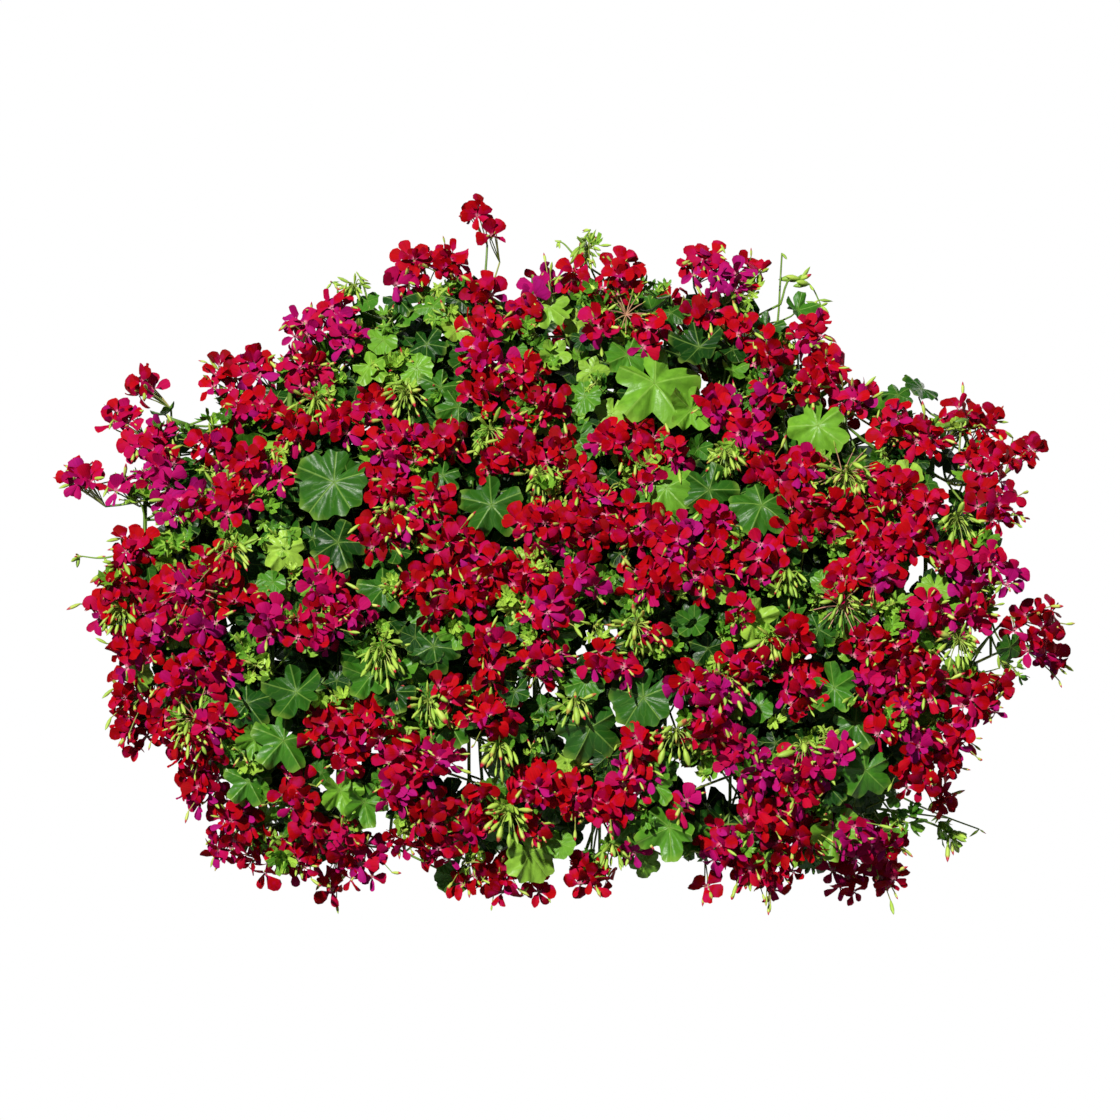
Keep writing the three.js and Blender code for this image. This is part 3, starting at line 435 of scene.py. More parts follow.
@dataclass(frozen=True)
class Box:
    """The room that the trough takes, in millimetres, with a little round it."""

    half: float = 356
    front: float = -211
    base: float = -85
    rim: float = 95
    over: float = 0.4  # the share of a thing's reach that it keeps above the rim
    before: float = 0.35  # the share that it keeps in front
    gap: float = 2

    def clear(self, point: Vector, room: float) -> Vector:
        """Moves a point out of the trough.

        Args:
            point: where something would stand.
            room: how far it reaches round that point.

        Returns:
            The point itself, or the one level with it in front of the trough.
        """
        beside = abs(point.x) > self.half + room
        above, below = point.z > self.rim + self.over * room, point.z < self.base - room
        nearest = self.front - self.before * room
        if beside or above or below or point.y < nearest:
            return point
        return Vector((point.x, nearest - self.gap, point.z))


FORM = Crown()
BOX = Box()


@dataclass(frozen=True)
class StemPlan:
    """The rule by which the leafy stems run, in millimetres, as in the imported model."""

    count: int = 14
    spacing: float = 70
    squeeze: float = 0.7
    rows: tuple[float, float] = (-72, -128)
    soil_top: float = 77
    root_depth: float = 30
    collar: float = 12  # how far a stem rises straight out of the soil
    arch: tuple[float, float] = (26, 62)  # the least and most that it arches over the rim
    end_lift: float = 48  # how far it ends above the plant's lower edge
    shortest: float = 90
    behind: float = 56  # how far it runs behind the outer surface
    over_lip: float = 14  # how far above the rim it starts to hang
    off_trough: float = 7.6
    trough_lanes: float = 385  # lanes no further out than this pass in front of the trough
    leader_drop: float = 70  # how far an upright shoot ends below the crown
    least_leader: float = 40
    stagger: float = 9  # how far the side shoots stand aside, in turn
    tuck: float = 0.93  # draws the trailing ends in, under their leaves
    second_row: float = 88  # how far behind them the side shoots under the box hang
    steps: int = 22

    def courses(self, number: int) -> list[list[Vector]]:
        """The courses of one stem.

        Args:
            number: the stem's place in the row, from 0.

        Returns:
            The points of the trailing stem, then of its upright shoot, where the crown is high
            enough, and of its side shoot under the box.
        """
        lane = (number - (self.count - 1) / 2) * self.spacing
        root = Vector((lane * self.squeeze, self.rows[number % 2], self.soil_top - self.root_depth))
        apex = clamp(FORM.top(lane) - self.behind, *(BOX.rim + rise for rise in self.arch))
        hang_top = BOX.rim + self.over_lip
        hang_end = min(FORM.bottom(lane) + self.end_lift, hang_top - self.shortest)

        def near(share: float) -> float:
            """The place along the box at a share of the way from the root to the lane."""
            return lerp(root.x, lane, min(share, 1))

        trunk = [
            Vector((root.x, root.y, self.soil_top + self.collar)),
            Vector((near(0.25), lerp(root.y, BOX.front, 0.35), apex - 18)),
            Vector((near(0.6), lerp(root.y, BOX.front, 0.85), apex)),
        ]
        for share in (0, 0.22, 0.45, 0.7, 1):
            x, z = near(0.85 + share) * self.tuck, lerp(hang_top, hang_end, share)
            y = FORM.surface(x, z, FORM.front)[0].y + self.behind
            if abs(lane) <= self.trough_lanes and z >= BOX.base - self.spacing:
                y = min(y, BOX.front - self.off_trough)
            trunk.append(Vector((x, y, z)))
        main = self.smooth(trunk, self.steps)
        paths = [[root, *main]]
        top = FORM.top(lane) - self.leader_drop
        if top >= apex + self.least_leader:
            start = main[round(0.2 * self.steps)]
            y = lerp(root.y, FORM.middle(apex), 0.6)
            middle = Vector((near(0.8), y, lerp(apex, top, 0.35)))
            end = Vector((lane, FORM.middle(top) - 26, top))
            paths.append(self.smooth([start, middle, end], self.steps // 2))
        under = [p for p in main if p.z < BOX.base - 6]
        if len(under) > 5:
            aside, back = ALONG * self.stagger * (1 if number % 2 else -1), OUT * -self.second_row
            middle = (under[0] + under[-1]) / 2 + back * 0.95 + aside
            knee = under[0] + back * 0.6 + aside - UP * 22
            end = under[-1] + back * 0.85 + aside * 2
            paths.append(self.smooth([under[0], knee, middle, end], self.steps // 2))
        return paths

    def smooth(self, points: list[Vector], steps: int) -> list[Vector]:
        """A centripetal curve through points.

        Args:
            points: what it passes through.
            steps: how many equal steps of its parameter are taken.

        Returns:
            The points on it.
        """
        ends = [points[0] * 2 - points[1], *points, points[-1] * 2 - points[-2]]
        found = []
        for i in range(steps + 1):
            place = i / steps * (len(points) - 1)
            k = min(int(place), len(points) - 2)
            t = place - k
            a, b, c, d = ends[k : k + 4]
            gaps = [max((q - p).length, 1e-3) ** 0.5 for p, q in ((a, b), (b, c), (c, d))]
            before = ((b - a) / gaps[0] - (c - a) / (gaps[0] + gaps[1]) + (c - b) / gaps[1]) * gaps[1]
            after = ((c - b) / gaps[1] - (d - b) / (gaps[1] + gaps[2]) + (d - c) / gaps[2]) * gaps[1]
            square, cube = t * t, t**3
            found.append(
                b * (2 * cube - 3 * square + 1)
                + before * (cube - 2 * square + t)
                + c * (3 * square - 2 * cube)
                + after * (cube - square)
            )
        return found


# ---------------------------------------------------------------- shapes that repeat


class Shape(Enum):
    """The small shapes that are repeated, by the name of their shelf."""

    PETAL = "petal"
    LEAF = "leaf"
    BROAD = "broad"
    BUD = "bud"
    CALYX = "calyx"
    CRUMB = "crumb"
    SCREW = "screw"


@dataclass(frozen=True)
class PetalKind:
    """How one kind of petal bends, cups and twists, and how wide it is."""

    bend: float
    cup: float
    twist: float
    width: float


@dataclass(frozen=True)
class LeafKind:
    """How one kind of leaf differs: its outline as shares of its reach, then how its blade bends."""

    tip: float = 1.0
    shoulder: float = 0.9
    side: float = 0.7
    notch: float = 0.52
    cup: float = 0.15
    ridge: float = 0.2
    fold: float = 0.0
    ruffle: float = 0.04


@dataclass
class ShapeShelf:
    """Makes each small shape at a size of 1, in a few variants, for the trees to repeat."""

    shelves: dict[Shape, bpy.types.Collection] = field(default_factory=dict)
    counts: dict[Shape, int] = field(default_factory=dict)
    # Four broad lower petals, then three narrow upper ones.
    petal_kinds: tuple[PetalKind, ...] = (
        PetalKind(0.2, -0.3, 0.08, 1.04), PetalKind(-0.15, 0.25, -0.1, 0.96),
        PetalKind(0.42, -0.1, 0.16, 1.0), PetalKind(0.1, -0.5, -0.16, 1.08),
        PetalKind(0.35, 0.6, 0.2, 0.66), PetalKind(-0.3, 0.4, -0.2, 0.6), PetalKind(0.6, -0.5, 0.1, 0.72),
    )
    lower_petals: int = 4
    # Four grown leaves, pointed, ivy-like, round and waved, then three crinkled young ones.
    leaf_kinds: tuple[LeafKind, ...] = (
        LeafKind(1.05, 0.88, 0.76, 0.6, 0.2, 0.3, 0.0, 0.05),
        LeafKind(0.98, 0.96, 0.85, 0.7, 0.32, 0.22, 0.1, 0.05),
        LeafKind(0.93, 1.0, 0.97, 0.88, 0.16, 0.14, 0.2, 0.05),
        LeafKind(1.0, 0.93, 0.8, 0.62, -0.2, 0.3, 0.3, 0.07),
        LeafKind(1.0, 0.9, 0.6, 0.42, -0.5, 0.4, 0.3, 0.12),
        LeafKind(1.1, 0.72, 0.46, 0.3, 0.3, 0.5, -0.35, 0.12),
        LeafKind(0.95, 1.0, 0.8, 0.55, -0.75, 0.5, 0.6, 0.16),
    )
    grown_leaves: int = 4
    lobes: tuple[float, ...] = (1.0, 0.96, 0.84, 0.84, 0.96)  # the reach of each lobe, from the tip round

    def put(self, shape: Shape, points: list, faces: list, uv: list, sharp: set) -> None:
        """Adds one variant to its shelf.

        Args:
            shape: which shape it is.
            points: its vertices.
            faces: their numbers, face by face, pointing outwards.
            uv: a place on the pattern for each vertex.
            sharp: the pairs of vertices whose edges are creases.
        """
        number = self.counts[shape] = self.counts.get(shape, 0) + 1
        mesh = bpy.data.meshes.new(f"{shape.value}_{number}")
        mesh.from_pydata([tuple(p) for p in points], [], faces)
        layer = mesh.uv_layers.new(name="UVMap")
        owners = np.zeros(len(mesh.loops), np.int32)
        mesh.loops.foreach_get("vertex_index", owners)
        layer.data.foreach_set("uv", np.array(uv, np.float32)[owners].ravel())
        mesh.polygons.foreach_set("use_smooth", [True] * len(mesh.polygons))
        for edge in mesh.edges:
            edge.use_edge_sharp = tuple(sorted(edge.vertices)) in sharp
        mesh.validate()
        if shape not in self.shelves:
            self.shelves[shape] = bpy.data.collections.new(f"shelf_{shape.value}")
        self.shelves[shape].objects.link(bpy.data.objects.new(mesh.name, mesh))

    def blade(
        self, shape: Shape, front: list, faces: list, uv: list, rim: set, thick: float,
        creases: frozenset = frozenset(),
    ) -> None:
        """Adds a thin blade, closed by a back that shares its rim.

        Args:
            shape: which shape it is.
            front: the vertices of its front.
            faces: the faces of its front, turning anticlockwise seen from the front.
            uv: a place on the pattern for each vertex.
            rim: the vertices that front and back share.
            thick: its thickness away from the rim.
            creases: the pairs of vertices along which the front is folded sharply.
        """
        inner = [i for i in range(len(front)) if i not in rim]
        twin = {i: len(front) + n for n, i in enumerate(inner)}
        points = front + [Vector(front[i]) - Vector((0, 0, thick)) for i in inner]
        back = [[twin.get(i, i) for i in reversed(face)] for face in faces]
        sharp = {(a, b) for a in rim for b in rim if a < b} | creases
        self.put(shape, points, faces + back, uv + [uv[i] for i in inner], sharp)

    def make_petals(self) -> None:
        """Narrow-clawed, rounded petals that differ in how they bend, cup and twist."""
        rows = ((0, 0.06), (0.2, 0.11), (0.42, 0.28), (0.69, 0.41), (0.9, 0.34), (1.0, 0.15))
        for number, kind in enumerate(self.petal_kinds):
            points, uv, rim = [], [], set()
            for k, (along, widest) in enumerate(rows):
                half = widest * kind.width
                for side in (-1, 0, 1):
                    height = -kind.bend * along**2 + kind.cup * abs(side) * half
                    height += kind.twist * side * along * half * 2
                    height += 0.06 * side * math.sin(9 * along + number)
                    bulge = 0.035 if side == 0 and 0 < k < len(rows) - 1 else 0
                    reach = along + (0.02 if side == 0 and k == len(rows) - 1 else 0)
                    if side or k in (0, len(rows) - 1):
                        rim.add(len(points))
                    points.append(Vector((side * half, reach, height + bulge)))
                    uv.append((0.5 + side * half, along))
            corners = [3 * k + side for k in range(len(rows) - 1) for side in (0, 1)]
            faces = [[a, a + 1, a + 4, a + 3] for a in corners]
            self.blade(Shape.PETAL, points, faces, uv, rim, 0.06)

    def make_leaves(self) -> None:
        """Five-lobed leaves on a stalk at their middle, creased along the vein of each lobe."""
        draw = random.Random(31)
        sinus = 0.32  # how far the gap between the two lowest lobes leaves the blade
        for kind in self.leaf_kinds:
            outline = (
                (-28, kind.side), (-16, kind.shoulder), (0, kind.tip), (16, kind.shoulder), (28, kind.side),
                (36, kind.notch),
            )
            points, uv, rim = [Vector((0, 0, -0.04))], [(0.5, 0.5)], set()
            for steps in (((0, 0.52),), outline):
                for lobe, length in enumerate(self.lobes):
                    length *= draw.uniform(0.93, 1.05)
                    for turn, reach in steps:
                        far = length * (sinus if turn == 36 and lobe == 2 else reach)
                        angle = math.radians(90 + 72 * lobe + turn + draw.uniform(-2, 2))
                        x, y = far * math.cos(angle), far * math.sin(angle)
                        lift = kind.ridge * math.cos(turn / 36 * math.pi) * far / 2
                        ruffle = draw.uniform(-1, 1) * kind.ruffle
                        height = lift - kind.cup * far**2 + kind.fold * abs(x) + ruffle
                        if steps is outline:
                            rim.add(len(points))
                        points.append(Vector((x, y, height)))
                        uv.append((0.5 + x / 2, 0.5 + y / 2))
            faces, creases = [], set()
            for lobe in range(5):
                axis, first = 1 + lobe, 6 + 6 * lobe
                before = 6 + (6 * lobe - 1) % 30
                faces += [[0, before, first], [0, first, first + 1, axis], [axis, first + 1, first + 2]]
                faces += [[axis, first + 2, first + 3], [0, axis, first + 3, first + 4]]
                faces.append([0, first + 4, first + 5])
                creases |= {(0, axis), (axis, first + 2)}
            self.blade(Shape.LEAF, points, faces, uv, rim, 0.035, frozenset(creases))

    def make_broad_leaves(self) -> None:
        """The few large leaves that are seen whole: finer grown leaves with rounded teeth and folds."""
        rings, sides, crease_every = (0.22, 0.45, 0.68, 0.88, 1.0), 60, 12
        draw = random.Random(17)
        for number, kind in enumerate(self.leaf_kinds[:self.grown_leaves]):
            points, uv = [Vector((0, 0, -0.03))], [(0.5, 0.5)]
            power = 2.8 if kind.side > 0.8 else 1.7  # round or pointed lobes
            lobes = [length * draw.uniform(0.92, 1.08) for length in self.lobes]
            for ring in rings:
                for k in range(sides):
                    turn = 360 // sides * k
                    off = abs((turn + 36) % 72 - 36) / 36  # 0 on a lobe's vein, 1 between two lobes
                    length = lobes[(turn + 36) // 72 % 5]
                    teeth = 0.045 * math.cos(2.5 * math.pi * off)
                    edge = kind.tip + (kind.notch - kind.tip) * off**power - teeth
                    if off > 0.8 and abs(turn - 180) < 12:
                        edge *= 0.3 + 0.04 * abs(turn - 180)
                    far = ring * edge * length
                    angle = math.radians(90 + turn)
                    x, y = far * math.cos(angle), far * math.sin(angle)
                    ridge = kind.ridge * 1.5 * (0.4 - min(off, 0.75)) * far
                    wave = kind.ruffle * 1.4 * far**2 * math.sin(turn * 0.21 + 2 * number)
                    points.append(Vector((x, y, ridge + wave - kind.cup * far**2 + kind.fold * abs(x))))
                    uv.append((0.5 + x / 2, 0.5 + y / 2))
            rim = set(range(len(points) - sides, len(points)))
            faces = [[0, 1 + k, 1 + (k + 1) % sides] for k in range(sides)]
            creases = set()
            for first in range(1, len(points) - sides, sides):
                for k in range(sides):
                    a, b = first + k, first + (k + 1) % sides
                    faces.append([a, a + sides, b + sides, b])
                    if k % crease_every == 0:
                        creases.add((a, a + sides))
            self.blade(Shape.BROAD, points, faces, uv, rim, 0.03, frozenset(creases))

    def turned(self, shape: Shape, profile: list, sides: int, wave: float = 0, bend: float = 0) -> None:
        """Adds a turned shape that points along +Y and is closed at both ends.

        Args:
            shape: which shape it is.
            profile: (distance along, radius) for each ring, between the two end points.
            sides: how many sides it has.
            wave: how much every other corner is pulled in.
            bend: how far its end curves aside.
        """
        (start, _), *rings, (end, _) = profile
        points, uv, faces = [Vector((0, start, 0))], [(0.5, 0)], []
        for along, radius in rings:
            for k in range(sides):
                angle = k / sides * FULL_TURN
                reach = radius * (1 - wave * (k % 2))
                height = bend * along**2 - reach * math.sin(angle)
                points.append(Vector((reach * math.cos(angle), along, height)))
                uv.append((k / sides, clamp(along, 0, 1)))
        points.append(Vector((0, end, bend * end**2)))
        uv.append((0.5, 1))
        for k in range(sides):
            after = (k + 1) % sides
            faces.append([0, 1 + after, 1 + k])
            for ring in range(len(rings) - 1):
                a = 1 + ring * sides
                faces.append([a + k, a + after, a + sides + after, a + sides + k])
            a = 1 + (len(rings) - 1) * sides
            faces.append([a + k, a + after, len(points) - 1])
        self.put(shape, points, faces, uv, set())

    def make_turned(self) -> None:
        """Curved spindle buds, narrow bracts, green calyces and pan-headed screws."""
        slender = [(0, 0), (0.03, 0.05), (0.3, 0.12), (0.62, 0.13), (0.88, 0.06), (1.0, 0)]
        plump = [(0, 0), (0.03, 0.06), (0.28, 0.15), (0.58, 0.18), (0.86, 0.1), (1.0, 0)]
        bract = [(0, 0), (0.06, 0.04), (0.4, 0.12), (0.75, 0.07), (1.0, 0)]
        for profile, sides, bend in ((slender, 5, 0.3), (plump, 5, -0.2), (bract, 4, -0.4)):
            self.turned(Shape.BUD, profile, sides, bend=bend)
        self.turned(Shape.CALYX, [(0, 0), (0.02, 0.09), (0.45, 0.17), (0.8, 0.24), (0.7, 0)], 6, 0.25)
        self.turned(Shape.CALYX, slender, 5, bend=0.25)
        self.turned(Shape.SCREW, [(0, 0), (0, 1), (0.4, 0.98), (0.62, 0.7), (0.62, 0.3), (0.4, 0)], 16)

    def make_crumbs(self) -> None:
        """Small lumps of potting soil, each an uneven six-sided ball."""
        draw = random.Random(5)
        for _ in range(3):
            profile = [(-0.5, 0), (-0.3, 0.4), (0.1, 0.55), (0.4, 0.3), (0.5, 0)]
            uneven = [(a, r * draw.uniform(0.75, 1.15)) for a, r in profile]
            self.turned(Shape.CRUMB, uneven, 6, draw.uniform(0, 0.2))

    def fill(self) -> None:
        """Makes all the shapes."""
        self.make_petals()
        self.make_leaves()
        self.make_broad_leaves()
        self.make_turned()
        self.make_crumbs()

    def clear(self) -> None:
        """Takes the shapes away once everything is grown."""
        for shelf in self.shelves.values():
            for item in list(shelf.objects):
                bpy.data.objects.remove(item)
            bpy.data.collections.remove(shelf)


# ---------------------------------------------------------------- finishes

# The kinds of node that the finishes use most.
MATHS, MIX, RANGE, RAMP = "ShaderNodeMath", "ShaderNodeMix", "ShaderNodeMapRange", "ShaderNodeValToRGB"
NOISE, BUMP, SPLIT = "ShaderNodeTexNoise", "ShaderNodeBump", "ShaderNodeSeparateXYZ"
Adder = Callable[..., bpy.types.Node]


def clouds(add: Adder, size: float, detail: float = 3.0) -> dict[str, object]:
    """What a noise node gets for clouds of a size in millimetres, in the object's own space."""
    place = add("ShaderNodeTexCoord").outputs["Object"]
    return {"Vector": place, "Scale": 1 / (size * MM), "Detail": detail}


def relief(height: bpy.types.Node, depth: float) -> dict[str, object]:
    """What a bump node gets for a relief of a depth in millimetres."""
    return {"Height": height, "Distance": depth * MM, "Strength": 1.0}


@dataclass(frozen=True)
class Finish:
    """What every finish shares: the Principled shader of one real material."""

    name: str
    roughness: float = 0.5
    ior: float = 1.45

    def make(self) -> bpy.types.Material:
        """Makes the material.

        Returns:
            The material, with the finish's own colour and relief.
        """
        material = bpy.data.materials.new(self.name)
        material.use_nodes = True
        tree = material.node_tree
        tree.nodes.clear()
        given = {"Roughness": self.roughness, "IOR": self.ior} | self.paint(partial(add_node, tree))
        shader = add_node(tree, "ShaderNodeBsdfPrincipled", given)
        add_node(tree, "ShaderNodeOutputMaterial", {"Surface": shader})
        return material

    def paint(self, add: Adder) -> dict[str, object]:
        """What the shader's inputs get, from nodes that add makes."""
        raise NotImplementedError


@dataclass(frozen=True)
class GeraniumPetal(Finish):
    """Fresh petals: soft and velvety, deeper at the veins, with a pale claw at the heart."""

    stops: tuple = ()
    vein: str = "560006"
    # The magenta of the painted sheen patches, which is also the claw's own colour.
    sheen_patch: str = "BA0A62"
    claw: str = "F0A8BC"

    def paint(self, add: Adder) -> dict[str, object]:
        """Paints the material.

        Args:
            add: adds a node to its tree.

        Returns:
            What the shader's inputs get, by name.
        """
        across, along, _ = add(SPLIT, (add("ShaderNodeUVMap", uv_map="UVMap"),)).outputs
        tint = add("ShaderNodeAttribute", attribute_name="tint").outputs["Fac"]
        # Veins about 1.1 mm apart run up the petal, a little coarser than real ones; the tint
        # gives each petal its own.
        lane = add(MATHS, (across, 16.0), operation="MULTIPLY")
        own = add(MATHS, (tint, 40.0), operation="MULTIPLY")
        stretched = add("ShaderNodeCombineXYZ", (lane, along, own))
        veins = add(NOISE, {"Vector": stretched, "Scale": 1.0, "Detail": 2.0})
        colour = add(RAMP, (tint,), stops=self.stops)
        # Soft patches about 14 mm wide are painted magenta, a painted sheen for glancing light on the
        # petals; near the claw the magenta is the petal's own colour.
        sheen_patch = add(RANGE, (add(NOISE, clouds(add, 14)), 0.5, 0.66, 0.0, 0.5))
        near_claw = add(RANGE, (along, 0.2, 0.46, 0.55, 0.0))
        magenta = add(MATHS, (sheen_patch, near_claw), operation="MAXIMUM")
        for share, other in (
            (add(RANGE, (veins, 0.35, 0.7, 0.0, 0.3)), self.vein),
            (magenta, self.sheen_patch),
            (add(RANGE, (along, 0.06, 0.18, 0.6, 0.0)), self.claw),
        ):
            colour = add(MIX, (share, colour, other), data_type="RGBA")
        return {"Base Color": colour, "Specular IOR Level": 0.1, "Normal": add(BUMP, relief(veins, 0.25))}


@dataclass(frozen=True)
class IvyLeaf(Finish):
    """Fleshy, glossy leaves: paler sunken veins that run from the stalk into the five lobes."""

    stops: tuple = ()
    shade: str = "16400F"
    vein: str = "9AC257"
    # The pale green painted along a leaf's edge as a painted highlight.
    margin: str = "A9CC4E"

    def paint(self, add: Adder) -> dict[str, object]:
        """Paints the material.

        Args:
            add: adds a node to its tree.

        Returns:
            What the shader's inputs get, by name.
        """
        across, along, _ = add(SPLIT, (add("ShaderNodeUVMap", uv_map="UVMap"),)).outputs
        x, y = [add(MATHS, (place, 0.5), operation="SUBTRACT") for place in (across, along)]
        angle = add(MATHS, (x, y), operation="ARCTAN2")
        turn = add(MATHS, (angle, 5 / FULL_TURN), operation="MULTIPLY")
        aside = add(MATHS, (turn, add(MATHS, (turn,), operation="ROUND")), operation="SUBTRACT")
        off = add(MATHS, (aside,), operation="ABSOLUTE")
        squares = [add(MATHS, (place, place), operation="MULTIPLY") for place in (x, y)]
        radius = add(MATHS, (add(MATHS, tuple(squares), operation="ADD"),), operation="SQRT")
        gap = add(MATHS, (off, add(MATHS, (radius, 0.02), operation="ADD")), operation="MULTIPLY")
        # A main vein is about 1 mm wide on a leaf 50 mm across; faint side veins leave it every 7 mm.
        veins = add(RANGE, (gap, 0.002, 0.012, 1.0, 0.0))
        mottle = add(NOISE, clouds(add, 7))
        wander = add(MATHS, (mottle, 0.12, radius), operation="MULTIPLY_ADD")
        slant = add(MATHS, (gap, -1.4, wander), operation="MULTIPLY_ADD")
        dome = add(MATHS, (slant, 0.07), operation="PINGPONG")
        side_veins = add(RANGE, (dome, 0.0, 0.012, 0.1, 0.0))
        tint = add("ShaderNodeAttribute", attribute_name="tint").outputs["Fac"]
        colour = add(RAMP, (tint,), stops=self.stops)
        # The margin is painted paler: a painted highlight along the leaf's edge, for light catching and
        # shining through the thin rim.
        for share, other in (
            (add(RANGE, (mottle, 0.35, 0.7, 0.0, 0.28)), self.shade),
            (add(RANGE, (radius, 0.0, 0.1, 0.25, 0.0)), self.vein),
            (side_veins, self.vein),
            (add(MATHS, (veins, 0.45), operation="MULTIPLY"), self.vein),
            (add(RANGE, (radius, 0.4, 0.5, 0.0, 0.3)), self.margin),
        ):
            colour = add(MIX, (share, colour, other), data_type="RGBA")
        grain = add(NOISE, clouds(add, 1.6, 2.0))
        gloss = add(RANGE, (grain, 0.3, 0.7, self.roughness - 0.04, self.roughness + 0.06))
        # The blade is domed a little between its side veins, and grained.
        grained = add(MATHS, (grain, 0.15), operation="MULTIPLY")
        raised = add(MATHS, (dome, 9.0, grained), operation="MULTIPLY_ADD")
        height = add(MATHS, (raised, veins), operation="SUBTRACT")
        return {
            "Base Color": colour, "Roughness": gloss, "Specular IOR Level": 0.27,
            "Normal": add(BUMP, relief(height, 0.4)),
        }


@dataclass(frozen=True)
class Growing(Finish):
    """Juicy green parts whose colour follows the tint, with one more colour over it."""

    stops: tuple = ()
    other: str = "4B6A2A"

    def cover(self, add: Adder, tint: bpy.types.NodeSocket) -> tuple[bpy.types.Node, bpy.types.Node, float]:
        """How far the other colour shows, what the relief follows, and how deep that is."""
        raise NotImplementedError

    def paint(self, add: Adder) -> dict[str, object]:
        """Paints the material.

        Args:
            add: adds a node to its tree.

        Returns:
            What the shader's inputs get, by name.
        """
        tint = add("ShaderNodeAttribute", attribute_name="tint").outputs["Fac"]
        share, height, depth = self.cover(add, tint)
        colour = add(MIX, (share, add(RAMP, (tint,), stops=self.stops), self.other), data_type="RGBA")
        return {"Base Color": colour, "Normal": add(BUMP, relief(height, depth))}


@dataclass(frozen=True)
class GreenStalk(Growing):
    """Stalks, smooth with a slight shine and darker streaks, greener or redder from one to the next."""

    def cover(self, add: Adder, tint: bpy.types.NodeSocket) -> tuple[bpy.types.Node, bpy.types.Node, float]:
        """Streaks about 3 mm long."""
        streaks = add(NOISE, clouds(add, 3))
        return add(RANGE, (streaks, 0.35, 0.7, 0.0, 0.3)), streaks, 0.1


@dataclass(frozen=True)
class GeraniumBud(Growing):
    """Buds and calyces: downy lime green, with petal colour breaking through at a ripe bud's tip."""

    def cover(self, add: Adder, tint: bpy.types.NodeSocket) -> tuple[bpy.types.Node, bpy.types.Node, float]:
        """Picks the tips of the ripe buds, under a down 1.5 mm apart.

        Args:
            add: adds a node to the tree.
            tint: above 0.62 a bud is ripening.

        Returns:
            How far the tip's colour shows, what the relief follows, and how deep that is.
        """
        along = add(SPLIT, (add("ShaderNodeUVMap", uv_map="UVMap"),)).outputs["Y"]
        tip, ripe = add(RANGE, (along, 0.62, 0.78, 0.0, 1.0)), add(RANGE, (tint, 0.62, 0.7, 0.0, 1.0))
        return add(MATHS, (tip, ripe), operation="MULTIPLY"), add(NOISE, clouds(add, 1.5)), 0.15


@dataclass(frozen=True)
class PottingSoil(Finish):
    """Damp peat with lighter fibres and grit: rough, dark and crumbly."""

    stops: tuple = ((0.3, "1B120D"), (0.55, "34241A"), (0.75, "5A4330"))
    grit: str = "8C7A66"

    def paint(self, add: Adder) -> dict[str, object]:
        """Paints the material.

        Args:
            add: adds a node to its tree.

        Returns:
            What the shader's inputs get, by name.
        """
        clumps, grit = add(NOISE, clouds(add, 9, 6.0)), add(NOISE, clouds(add, 2, 2.0))
        share = add(RANGE, (grit, 0.66, 0.72, 0.0, 0.7))
        colour = add(MIX, (share, add(RAMP, (clumps,), stops=self.stops), self.grit), data_type="RGBA")
        return {"Base Color": colour, "Normal": add(BUMP, relief(clumps, 2.0))}


@dataclass(frozen=True)
class MouldedPolypropylene(Finish):
    """Injection-moulded plastic: an even satin skin with a fine spark-eroded grain and some dust."""

    colour: str = "2C3A2E"
    dust: str = "6A7466"

    def paint(self, add: Adder) -> dict[str, object]:
        """Paints the material.

        Args:
            add: adds a node to its tree.

        Returns:
            What the shader's inputs get, by name.
        """
        cloud, grain = add(NOISE, clouds(add, 60, 4.0)), add(NOISE, clouds(add, 0.9, 2.0))
        share = add(RANGE, (cloud, 0.45, 0.75, 0.0, 0.35))
        return {
            "Base Color": add(MIX, (share, self.colour, self.dust), data_type="RGBA"),
            "Roughness": add(RANGE, (cloud, 0.3, 0.7, self.roughness - 0.07, self.roughness + 0.1)),
            "Normal": add(BUMP, relief(grain, 0.08)),
        }


@dataclass(frozen=True)
class PowderCoatedSteel(Finish):
    """Mild steel with a baked powder coat: a dark skin with a fine orange peel and small scuffs."""

    colour: str = "3B3D3F"
    scuff: str = "7C7B76"

    def paint(self, add: Adder) -> dict[str, object]:
        """Paints the material.

        Args:
            add: adds a node to its tree.

        Returns:
            What the shader's inputs get, by name.
        """
        peel, wear = add(NOISE, clouds(add, 1.4, 2.0)), add(NOISE, clouds(add, 14, 8.0))
        share = add(RANGE, (wear, 0.64, 0.72, 0.0, 0.5))
        colour = add(MIX, (share, self.colour, self.scuff), data_type="RGBA")
        return {"Base Color": colour, "Metallic": 0.3, "Normal": add(BUMP, relief(peel, 0.06))}


@dataclass(frozen=True)
class StudioPaint(Finish):
    """The matt pale floor of the studio, with faint clouds."""

    colour: str = "F4F4F2"
    cloud: str = "E6E6E2"

    def paint(self, add: Adder) -> dict[str, object]:
        """Paints the material.

        Args:
            add: adds a node to its tree.

        Returns:
            What the shader's inputs get, by name.
        """
        share = add(RANGE, (add(NOISE, clouds(add, 400)), 0.3, 0.7, 0.0, 0.1))
        return {"Base Color": add(MIX, (share, self.colour, self.cloud), data_type="RGBA")}


RED_PETAL = GeraniumPetal(
    "geranium_petal_crimson", 0.7,
    stops=(
        (0.0, "8C0008"), (0.3, "B4000A"), (0.6, "C0000E"), (0.74, "BC022A"), (0.88, "B6065C"),
        (1.0, "B21278"),
    ),
)
MAGENTA_PETAL = GeraniumPetal(
    "geranium_petal_magenta", 0.7,
    stops=((0.0, "A0000C"), (0.3, "BC0014"), (0.5, "BC0232"), (0.75, "B80662"), (1.0, "B4147A")),
)
